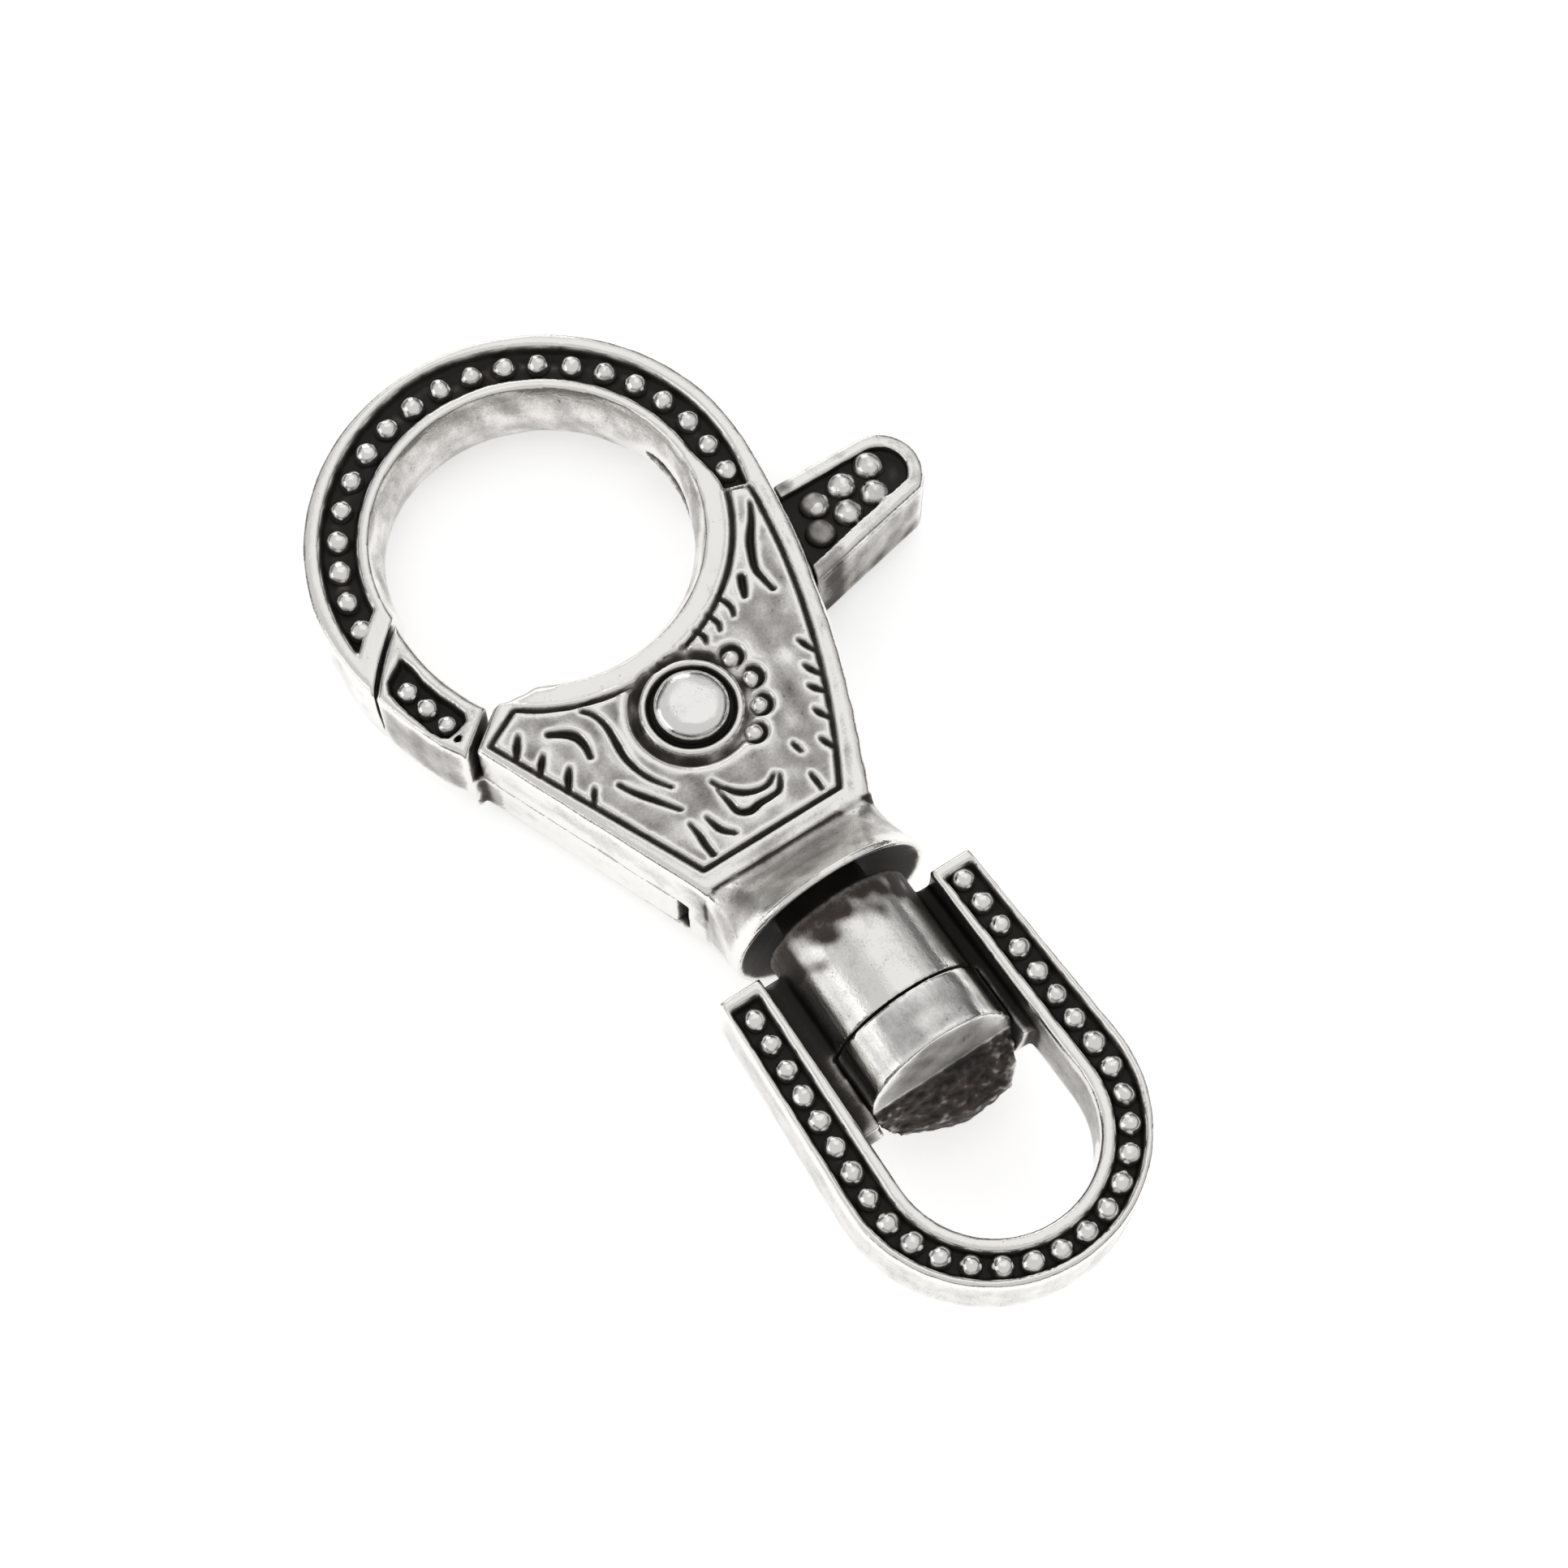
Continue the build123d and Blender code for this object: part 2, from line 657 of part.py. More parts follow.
with BuildPart() as swivel_bail:
    with BuildSketch(Plane.XY.offset(-bail_half_h)):
        add(tongue(bail_out_r, bail_start_x, bail_pinch, bail_swell))
        add(tongue(bail_in_r, bail_start_x - 1, bail_in_pinch, 0), mode=Mode.SUBTRACT)
    extrude(amount=2 * bail_half_h)
    fillet(swivel_bail.faces().sort_by(Axis.Z)[-1].edges(), bail_edge_r)
    fillet(swivel_bail.faces().sort_by(Axis.Z)[0].edges(), bail_back_edge)
    # Web between the legs, its cheeks beside the pin's head, and the sleeve in its middle
    with BuildSketch(across(bail_start_x)):
        with Locations((bail_y - swivel_y, (web_top - web_bottom) / 2)):
            Rectangle(2 * bail_in_r + bail_edge_r, web_top + web_bottom)
    extrude(amount=sleeve_end_x - bail_start_x)
    with BuildSketch(across(sleeve_end_x)):
        with Locations((bail_y - swivel_y, (web_top - web_bottom) / 2)):
            Rectangle(2 * bail_in_r + bail_edge_r, web_top + web_bottom)
        Circle(head_r + cheek_gap, mode=Mode.SUBTRACT)
    extrude(amount=cheek_len)
    with BuildSketch(across(sleeve_start_x)):
        Circle(sleeve_r)
    extrude(amount=sleeve_end_x - sleeve_start_x)
    with BuildSketch(across(sleeve_start_x)):
        Circle(stem_r + swivel_gap)
    extrude(amount=sleeve_end_x - sleeve_start_x, mode=Mode.SUBTRACT)
    channel_start_x = bail_start_x + bail_end_rim
    with BuildSketch(Plane.XY.offset(bail_half_h - bail_channel_depth)):
        add(tongue(bail_channel_out_r, channel_start_x, bail_channel_pinch, bail_swell))
        add(tongue(bail_channel_in_r, channel_start_x - 1, bail_channel_pinch, 0), mode=Mode.SUBTRACT)
    extrude(amount=bail_channel_depth, mode=Mode.SUBTRACT)
    bail_line_r = (bail_channel_in_r + bail_channel_out_r) / 2
    bead_x = bail_start_x + bail_bead_inset
    with BuildLine(Plane.XY.offset(bail_half_h + bead_rise - bail_bead_r)) as bead_line:
        bail_line(bail_line_r, bead_x, bail_channel_pinch, bail_swell / 2)
    bead_wire = bead_line.wire()
    with Locations(*[bead_wire @ (bead / (bail_bead_count - 1)) for bead in range(bail_bead_count)]):
        Sphere(bail_bead_r)
swivel_bail.part.label = "swivel_bail"

# The clasp is laid down on its back plane, with the hole's centre over the origin
rest_turn = back_plane.location.inverse()
for piece in (claw_body, pivot_rivet, gate_lever, swivel_pin, swivel_bail):
    label = piece.part.label
    piece.part = piece.part.moved(rest_turn)
    piece.part.label = label
    print(label, round(piece.part.volume, 1), len(piece.part.solids()), piece.part.is_valid)

export_step(claw_body.part, "parts/claw_body.step")
export_step(pivot_rivet.part, "parts/pivot_rivet.step")
export_step(gate_lever.part, "parts/gate_lever.step")
export_step(swivel_pin.part, "parts/swivel_pin.step")
export_step(swivel_bail.part, "parts/swivel_bail.step")
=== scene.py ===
from math import acos, atan2, cos, degrees, hypot, pi, radians, sin, tan

import bpy
import bmesh
import numpy as np
from mathutils import Matrix, Vector, noise


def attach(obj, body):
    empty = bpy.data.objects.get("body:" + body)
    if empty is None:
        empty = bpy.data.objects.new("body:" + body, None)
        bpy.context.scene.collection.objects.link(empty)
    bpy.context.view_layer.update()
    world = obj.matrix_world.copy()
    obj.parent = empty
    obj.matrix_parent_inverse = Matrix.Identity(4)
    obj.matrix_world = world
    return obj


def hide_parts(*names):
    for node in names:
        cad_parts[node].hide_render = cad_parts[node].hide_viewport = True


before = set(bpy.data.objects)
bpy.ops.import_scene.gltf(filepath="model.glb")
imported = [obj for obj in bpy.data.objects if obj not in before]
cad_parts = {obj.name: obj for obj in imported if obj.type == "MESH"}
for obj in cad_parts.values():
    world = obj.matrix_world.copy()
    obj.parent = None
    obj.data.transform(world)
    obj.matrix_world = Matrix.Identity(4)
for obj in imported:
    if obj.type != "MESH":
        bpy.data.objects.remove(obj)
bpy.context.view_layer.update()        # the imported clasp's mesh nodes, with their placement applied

# The clasp is laid out in millimetres with its face level, then leans back a little to lie on its back.
lay = {"ringRadius": 8.42, "ringBack": 2.05, "collarX": 17.1, "collarRadius": 3.85, "faceHeight": 1.7,
       "beadLift": 0.05}
layTilt = atan2(lay["collarRadius"] - lay["ringBack"], lay["collarX"] + lay["ringRadius"])
layBack = -lay["ringBack"] - lay["ringRadius"] * tan(layTilt)
layUp = np.array((-sin(layTilt), 0, cos(layTilt)))
layAlong = np.array((cos(layTilt), 0, sin(layTilt)))


def rest(x, y, z):
    dz = z - layBack
    return Vector((x * cos(layTilt) - dz * sin(layTilt), y, x * sin(layTilt) + dz * cos(layTilt))) / 1000


def toLayout(co):  # scene metres back to layout millimetres
    x, y, z = co.T * 1000
    return x * cos(layTilt) + z * sin(layTilt), y, z * cos(layTilt) - x * sin(layTilt) + layBack


def polar(radius, angle, middle=(0, 0)):
    return middle[0] + radius * cos(radians(angle)), middle[1] + radius * sin(radians(angle))


# Camera at the photograph's angle
shot = {"eye": (46.128, -19.960, 93.475), "aim": (13.01, 1.96, 1.7), "lens": 66.91}


def placeCamera():
    data = bpy.data.cameras.new("shotCamera")
    data.lens = shot["lens"]
    data.sensor_width = data.sensor_height = 36
    data.clip_start, data.clip_end = 0.005, 5
    cam = bpy.data.objects.new("shotCamera", data)
    bpy.context.scene.collection.objects.link(cam)
    eye, aim = rest(*shot["eye"]), rest(*shot["aim"])
    back = (eye - aim).normalized()
    side = Vector(layUp).cross(back).normalized()
    camUp = back.cross(side)
    cam.matrix_world = Matrix.Translation(eye) @ Matrix((side, camUp, back)).transposed().to_4x4()
    bpy.context.scene.camera = cam


# Paper floor, soft boxes and a room that is bright overhead and dim near the horizon
studio = {"floorColour": (0.95, 0.95, 0.95, 1), "floorGlow": 0.54, "overhead": 0.66, "horizon": 0.08,
          "dimTo": 0.15, "brightFrom": 0.6}
softBoxes = {
    "keyBox": {"place": (-0.13, 0.12, 0.36), "size": 0.3, "watts": 0.07},
    "rimBox": {"place": (-0.12, -0.38, 0.10), "size": 0.3, "watts": 0.22},
    "backBox": {"place": (-0.30, 0.10, 0.10), "size": 0.16, "watts": 0.08},
}


def buildStudio():
    mesh = bpy.data.meshes.new("paleFloor")
    mesh.from_pydata([(-2, -2, 0), (2, -2, 0), (2, 2, 0), (-2, 2, 0)], [], [(0, 1, 2, 3)])
    floor = bpy.data.objects.new("paleFloor", mesh)
    bpy.context.scene.collection.objects.link(floor)
    paper = bpy.data.materials.new("palePaper")
    paper.use_nodes = True
    shader = paper.node_tree.nodes["Principled BSDF"]
    shader.inputs["Base Color"].default_value = studio["floorColour"]
    shader.inputs["Roughness"].default_value = 0.9
    shader.inputs["Emission Color"].default_value = (1, 1, 1, 1)
    shader.inputs["Emission Strength"].default_value = studio["floorGlow"]
    mesh.materials.append(paper)

    world = bpy.context.scene.world or bpy.data.worlds.new("studioRoom")
    bpy.context.scene.world = world
    world.use_nodes = True
    tree = world.node_tree
    sky = tree.nodes["Background"]
    direction = tree.nodes.new("ShaderNodeTexCoord")
    parts = tree.nodes.new("ShaderNodeSeparateXYZ")
    ramp = tree.nodes.new("ShaderNodeMapRange")
    ramp.interpolation_type = "SMOOTHSTEP"
    for socket, value in zip(ramp.inputs[1:5], ("dimTo", "brightFrom", "horizon", "overhead")):
        socket.default_value = studio[value]
    tree.links.new(direction.outputs["Generated"], parts.inputs[0])
    tree.links.new(parts.outputs["Z"], ramp.inputs["Value"])
    tree.links.new(ramp.outputs["Result"], sky.inputs["Strength"])
    sky.inputs["Color"].default_value = (1, 1, 1, 1)

    for name, box in softBoxes.items():
        data = bpy.data.lights.new(name, "AREA")
        data.energy, data.size = box["watts"], box["size"]
        lamp = bpy.data.objects.new(name, data)
        bpy.context.scene.collection.objects.link(lamp)
        lamp.location = box["place"]
        towards = Vector((0.013, 0.001, 0.003)) - Vector(box["place"])
        lamp.rotation_euler = towards.to_track_quat("-Z", "Y").to_euler()
    bpy.context.scene.view_settings.view_transform = "Standard"


placeCamera()
buildStudio()
print("camera and studio are set")


# Antique silver: bright where it is rubbed, grey where it is dull, brown black where polish never reaches;
# ambient occlusion adds painted shade to the colour.
# The grime-and-shade and wear attributes come from the shape of each casting, and grime-and-shade also
# carries painted shade set by place.
silverLooks = {
    "castSilver": {"bright": (0.90, 0.882, 0.852, 1), "dull": (0.48, 0.462, 0.444, 1),
                   "aoShare": 0.5, "blotchShare": 0.34, "grainShare": 0.26, "smooth": 0.17, "bump": 0.35},
    "beadSilver": {"bright": (0.93, 0.915, 0.89, 1), "dull": (0.55, 0.532, 0.51, 1),
                   "aoShare": 0.55, "blotchShare": 0.22, "grainShare": 0.16, "smooth": 0.15, "bump": 0.3},
    "polishedSilver": {"bright": (0.91, 0.90, 0.88, 1), "dull": (0.50, 0.485, 0.47, 1),
                       "aoShare": 0.6, "blotchShare": 0.3, "grainShare": 0.2, "smooth": 0.12, "bump": 0.3},
}
silverCommon = {"brown": (0.080, 0.066, 0.058, 1), "black": (0.014, 0.011, 0.009, 1), "aoReach": 0.0011,
                "blotchScale": 1500, "grainScale": 11000, "pitScale": 5200, "rubScale": (350, 350, 9000)}


def makeSilver(name, look):
    mat = bpy.data.materials.new(name)
    mat.use_nodes = True
    tree = mat.node_tree
    shader = tree.nodes["Principled BSDF"]

    def add(kind, settings=None, inputs=None):
        made = tree.nodes.new(kind)
        for key, value in (settings or {}).items():
            setattr(made, key, value)
        for key, value in (inputs or {}).items():
            if isinstance(value, bpy.types.NodeSocket):
                tree.links.new(value, made.inputs[key])
            else:
                made.inputs[key].default_value = value
        return made

    def maths(operation, first, second, third=0.0):
        return add("ShaderNodeMath", {"operation": operation}, {0: first, 1: second, 2: third}).outputs[0]

    place = add("ShaderNodeTexCoord").outputs["Object"]
    rubbed = add("ShaderNodeMapping", None, {"Vector": place, "Scale": silverCommon["rubScale"],
                                             "Rotation": (0.4, 0.9, 0.3)}).outputs[0]
    blotch = add("ShaderNodeTexNoise", None, {"Vector": place, "Scale": silverCommon["blotchScale"],
                                              "Detail": 5.0, "Roughness": 0.62}).outputs["Fac"]
    grain = add("ShaderNodeTexNoise", None, {"Vector": place, "Scale": silverCommon["grainScale"],
                                             "Detail": 3.0, "Roughness": 0.6}).outputs["Fac"]
    rub = add("ShaderNodeTexNoise", None, {"Vector": rubbed, "Scale": 1.0, "Detail": 2.0}).outputs["Fac"]
    cells = add("ShaderNodeTexVoronoi", None, {"Vector": place, "Scale": silverCommon["pitScale"]})
    pits = cells.outputs["Distance"]
    pitDepth = add("ShaderNodeMapRange", None, {"Value": pits, 1: 0.05, 2: 0.3, 3: 1.0, 4: 0.0}).outputs[0]
    pitMask = maths("MULTIPLY", pitDepth, add("ShaderNodeMapRange", None,
                                              {"Value": blotch, 1: 0.52, 2: 0.68}).outputs[0])
    grimeAndShade = add("ShaderNodeAttribute", {"attribute_name": "grimeAndShade"}).outputs["Fac"]
    wear = add("ShaderNodeAttribute", {"attribute_name": "wear"}).outputs["Fac"]
    # Painted shade: ambient occlusion darkens the colour in crevices and in gaps between pieces.
    around = add("ShaderNodeAmbientOcclusion", {"samples": 6}, {"Distance": silverCommon["aoReach"]})
    shaded = add("ShaderNodeMapRange", None,
                 {"Value": around.outputs["AO"], 1: 0.85, 2: 0.25, 3: 0.0, 4: 1.0}).outputs[0]
    tarnishAndShade = maths("MULTIPLY_ADD", shaded, look["aoShare"], grimeAndShade)
    tarnishAndShade = maths("MULTIPLY_ADD", maths("SUBTRACT", blotch, 0.47), look["blotchShare"], tarnishAndShade)
    tarnishAndShade = maths("MULTIPLY_ADD", maths("SUBTRACT", grain, 0.5), look["grainShare"], tarnishAndShade)
    tarnishAndShade = maths("MULTIPLY_ADD", pitMask, 0.25, tarnishAndShade)
    tarnishAndShade = maths("MULTIPLY_ADD", wear, -0.5, tarnishAndShade)
    ramp = add("ShaderNodeValToRGB", None, {0: tarnishAndShade})
    ramp.color_ramp.elements[0].color = look["bright"]
    ramp.color_ramp.elements[0].position = 0.04
    ramp.color_ramp.elements[1].color = silverCommon["black"]
    ramp.color_ramp.elements[1].position = 1.0
    for position, colour in ((0.3, look["dull"]), (0.68, silverCommon["brown"])):
        ramp.color_ramp.elements.new(position).color = colour
    tree.links.new(ramp.outputs[0], shader.inputs["Base Color"])
    metal = add("ShaderNodeMapRange", None, {"Value": tarnishAndShade, 1: 0.45, 2: 0.95, 3: 1.0, 4: 0.35}).outputs[0]
    tree.links.new(metal, shader.inputs["Metallic"])
    matt = add("ShaderNodeMapRange", None,
               {"Value": tarnishAndShade, 1: 0.0, 2: 0.8, 3: look["smooth"], 4: 0.58}).outputs[0]
    matt = maths("MULTIPLY_ADD", maths("SUBTRACT", rub, 0.5), 0.16, matt)
    tree.links.new(matt, shader.inputs["Roughness"])
    height = maths("MULTIPLY_ADD", blotch, 2.2, maths("MULTIPLY_ADD", rub, 0.35, grain))
    height = maths("MULTIPLY_ADD", pitMask, -0.8, height)
    bump = add("ShaderNodeBump", None, {"Height": height, "Strength": look["bump"], "Distance": 0.00002})
    tree.links.new(bump.outputs[0], shader.inputs["Normal"])
    return mat


silvers = {name: makeSilver(name, look) for name, look in silverLooks.items()}
print("silver finishes are mixed")


# Mesh helpers
def readPoints(mesh):
    co = np.empty(len(mesh.vertices) * 3)
    mesh.vertices.foreach_get("co", co)
    return co.reshape(-1, 3)


def writePoints(mesh, co):
    mesh.vertices.foreach_set("co", co.ravel())
    mesh.update()


def readNormals(mesh):
    normals = np.empty(len(mesh.vertices) * 3)
    mesh.vertices.foreach_get("normal", normals)
    return normals.reshape(-1, 3)


def readEdges(mesh):
    edges = np.empty(len(mesh.edges) * 2, dtype=np.int64)
    mesh.edges.foreach_get("vertices", edges)
    return edges.reshape(-1, 2)


# Each point drifts towards the middle of its neighbours
def relax(values, edges, passes, share=0.5, mask=None):
    count = np.bincount(edges.ravel(), minlength=len(values))[:, None]
    step = share if mask is None else share * mask[:, None]
    for _ in range(passes):
        total = np.stack([np.bincount(edges[:, 0], values[edges[:, 1], k], len(values))
                          + np.bincount(edges[:, 1], values[edges[:, 0], k], len(values))
                          for k in range(values.shape[1])], axis=1)
        values = values + step * (total / count - values)
    return values


def rise(value, low, high):  # soft step from 0 at low to 1 at high
    t = np.clip((value - low) / (high - low), 0, 1)
    return t * t * (3 - 2 * t)


def wavy(x, y, z, size, seed):  # smooth uneven field between about -1 and 1, size in millimetres
    dice = np.random.default_rng(seed)
    total = np.zeros_like(x)
    for _ in range(7):
        way = dice.normal(size=3)
        way *= 2 * pi / size * dice.uniform(0.6, 1.5) / np.linalg.norm(way)
        total += np.sin(x * way[0] + y * way[1] + z * way[2] + dice.uniform(0, 2 * pi))
    return total / 3


def addPiece(name, mesh, metal):
    for face in mesh.polygons:
        face.use_smooth = True
    mesh.materials.clear()
    mesh.materials.append(silvers[metal])
    piece = bpy.data.objects.new(name, mesh)
    bpy.context.scene.collection.objects.link(piece)
    return piece


def prism(outline, low, high):  # closed block over a plan outline, in layout millimetres
    bm = bmesh.new()
    rings = [[bm.verts.new(rest(x, y, z)) for x, y in outline] for z in (low, high)]
    bm.faces.new(rings[0][::-1])
    bm.faces.new(rings[1])
    for k in range(len(outline)):
        n = (k + 1) % len(outline)
        bm.faces.new((rings[0][k], rings[0][n], rings[1][n], rings[1][k]))
    bmesh.ops.recalc_face_normals(bm, faces=bm.faces)
    mesh = bpy.data.meshes.new("block")
    bm.to_mesh(mesh)
    bm.free()
    return mesh


def castFrom(node, grainSize, fillers=()):  # the node's merged surface, with fillers, as one even fine mesh
    bm = bmesh.new()
    bm.from_mesh(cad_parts[node].data)
    bmesh.ops.remove_doubles(bm, verts=bm.verts, dist=2e-6)
    for filler in fillers:
        bm.from_mesh(filler)
    mesh = bpy.data.meshes.new(node + "Cast")
    bm.to_mesh(mesh)
    bm.free()
    temp = bpy.data.objects.new(node + "Cast", mesh)
    bpy.context.scene.collection.objects.link(temp)
    even = temp.modifiers.new("evenSkin", "REMESH")
    even.mode = "VOXEL"
    even.voxel_size = grainSize / 1000
    return bakeModifiers(temp)


def bakeModifiers(temp):
    ready = temp.evaluated_get(bpy.context.evaluated_depsgraph_get())
    mesh = bpy.data.meshes.new_from_object(ready)
    bpy.data.objects.remove(temp)
    return mesh


def thinOut(mesh, triangles):
    share = triangles / sum(len(face.vertices) - 2 for face in mesh.polygons)
    if share >= 1:
        return mesh
    temp = bpy.data.objects.new("thinning", mesh)
    bpy.context.scene.collection.objects.link(temp)
    thin = temp.modifiers.new("thin", "DECIMATE")
    thin.ratio = share
    return bakeModifiers(temp)


# Grime gathers in hollows, wear shows on edges, and extra adds grime and painted shade by place
def soilAndShade(mesh, extra, hollowGain=(7, 4.5), wearGain=10):
    co, edges = readPoints(mesh), readEdges(mesh)
    normals = readNormals(mesh)
    fine = ((relax(co, edges, 10) - co) * normals).sum(1) * 1000
    broad = ((relax(co, edges, 60) - co) * normals).sum(1) * 1000
    grimeAndShade = np.clip(fine * hollowGain[0], -0.3, 0.7) + np.clip(broad * hollowGain[1], -0.2, 0.7)
    grimeAndShade = grimeAndShade + extra(*toLayout(co), normals)
    wear = np.clip(-fine * wearGain, 0, 1)
    for name, values in (("grimeAndShade", np.clip(grimeAndShade, 0, 1.2)), ("wear", wear)):
        values = relax(values[:, None], edges, 2)[:, 0]
        layer = mesh.attributes.new(name, "FLOAT", "POINT")
        layer.data.foreach_set("value", values.astype(np.float32))


# Rows of beads: one geometry tree resamples a route and seats uneven beads on it
def buildBeadTree():
    tree = bpy.data.node_groups.new("beadRows", "GeometryNodeTree")
    sockets = {}
    for label, kind in (("Route", "Geometry"), ("Beads in a row", "Int"), ("Bead radius", "Float"),
                        ("Size spread", "Float"), ("Dent depth", "Float"), ("Dent size", "Float"),
                        ("Seed", "Int"), ("Metal", "Material")):
        made = tree.interface.new_socket(label, in_out="INPUT", socket_type="NodeSocket" + kind)
        sockets[label] = made.identifier
    tree.interface.new_socket("Beads", in_out="OUTPUT", socket_type="NodeSocketGeometry")
    add, link = tree.nodes.new, tree.links.new
    given, result = add("NodeGroupInput"), add("NodeGroupOutput")
    spots = add("GeometryNodeResampleCurve")
    spots.mode = "COUNT"
    bead = add("GeometryNodeMeshIcoSphere")
    bead.inputs["Subdivisions"].default_value = 4
    bead.inputs["Radius"].default_value = 1
    least, most = add("ShaderNodeMath"), add("ShaderNodeMath")
    least.operation, most.operation = "SUBTRACT", "ADD"
    least.inputs[0].default_value = most.inputs[0].default_value = 1
    spread = add("FunctionNodeRandomValue")
    spread.data_type = "FLOAT_VECTOR"
    size = add("ShaderNodeVectorMath")
    size.operation = "SCALE"
    seat = add("GeometryNodeInstanceOnPoints")
    seat.inputs["Rotation"].default_value = (0, -layTilt, 0)
    solid = add("GeometryNodeRealizeInstances")
    dents = add("ShaderNodeTexNoise")
    dents.inputs["Detail"].default_value = 1
    pitch = add("ShaderNodeMath")
    pitch.operation = "DIVIDE"
    pitch.inputs[0].default_value = 1
    middle, push = add("ShaderNodeVectorMath"), add("ShaderNodeVectorMath")
    middle.operation, push.operation = "SUBTRACT", "SCALE"
    middle.inputs[1].default_value = (0.5, 0.5, 0.5)
    move, shade = add("GeometryNodeSetPosition"), add("GeometryNodeSetShadeSmooth")
    metal = add("GeometryNodeSetMaterial")
    link(given.outputs["Route"], spots.inputs["Curve"])
    link(given.outputs["Beads in a row"], spots.inputs["Count"])
    link(given.outputs["Size spread"], least.inputs[1])
    link(given.outputs["Size spread"], most.inputs[1])
    link(least.outputs[0], spread.inputs["Min"])
    link(most.outputs[0], spread.inputs["Max"])
    link(given.outputs["Seed"], spread.inputs["Seed"])
    link(spread.outputs["Value"], size.inputs[0])
    link(given.outputs["Bead radius"], size.inputs["Scale"])
    link(spots.outputs["Curve"], seat.inputs["Points"])
    link(bead.outputs["Mesh"], seat.inputs["Instance"])
    link(size.outputs[0], seat.inputs["Scale"])
    link(seat.outputs["Instances"], solid.inputs["Geometry"])
    link(given.outputs["Dent size"], pitch.inputs[1])
    link(pitch.outputs[0], dents.inputs["Scale"])
    link(dents.outputs["Color"], middle.inputs[0])
    link(middle.outputs[0], push.inputs[0])
    link(given.outputs["Dent depth"], push.inputs["Scale"])
    link(solid.outputs["Geometry"], move.inputs["Geometry"])
    link(push.outputs[0], move.inputs["Offset"])
    link(move.outputs["Geometry"], shade.inputs["Geometry"])
    link(shade.outputs["Geometry"], metal.inputs["Geometry"])
    link(given.outputs["Metal"], metal.inputs["Material"])
    link(metal.outputs["Geometry"], result.inputs["Beads"])
    return tree, sockets


beadTree, beadSockets = buildBeadTree()


def strewBeads(name, routes, height, spec, body):  # routes are lists of plan points in layout millimetres
    curve = bpy.data.curves.new(name + "Route", "CURVE")
    curve.dimensions = "3D"
    for route in routes:
        line = curve.splines.new("POLY")
        line.points.add(len(route) - 1)
        for point, (x, y) in zip(line.points, route):
            point.co = (*rest(x, y, height), 1)
    temp = bpy.data.objects.new(name + "Route", curve)
    bpy.context.scene.collection.objects.link(temp)
    rows = temp.modifiers.new("beadRows", "NODES")
    rows.node_group = beadTree
    values = {"Beads in a row": spec["count"], "Bead radius": spec["radius"] / 1000,
              "Size spread": spec["spread"], "Dent depth": spec["dent"] / 1000,
              "Dent size": spec["dentSize"] / 1000, "Seed": spec["seed"], "Metal": silvers["beadSilver"]}
    for label, value in values.items():
        rows[beadSockets[label]] = value
    mesh = bakeModifiers(temp)
    mesh.name = name
    floorLevel = height + spec["radius"] - spec["sunk"]
    x, y, z = toLayout(readPoints(mesh))
    below = np.clip((floorLevel - z) / spec["sunk"] * 0.9 + 0.1, 0, 1.0)
    tops = 0.10 * wavy(x, y, z, 0.9, spec["seed"] + 5) + spec.get("dull", 0)
    tops = tops + spec.get("dim", 0) * rise(spec.get("dimTo", 0) - y, 0, 0.4)
    for label, field in (("grimeAndShade", below + tops), ("wear", np.clip(0.35 - below, 0, 1))):
        layer = mesh.attributes.new(label, "FLOAT", "POINT")
        layer.data.foreach_set("value", field.astype(np.float32))
    piece = addPiece(name, mesh, "beadSilver")
    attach(piece, body)
    print(name, "seated")


def arcRoute(middle, radius, start, end, steps=60):
    return [polar(radius, start + (end - start) * k / steps, middle) for k in range(steps + 1)]


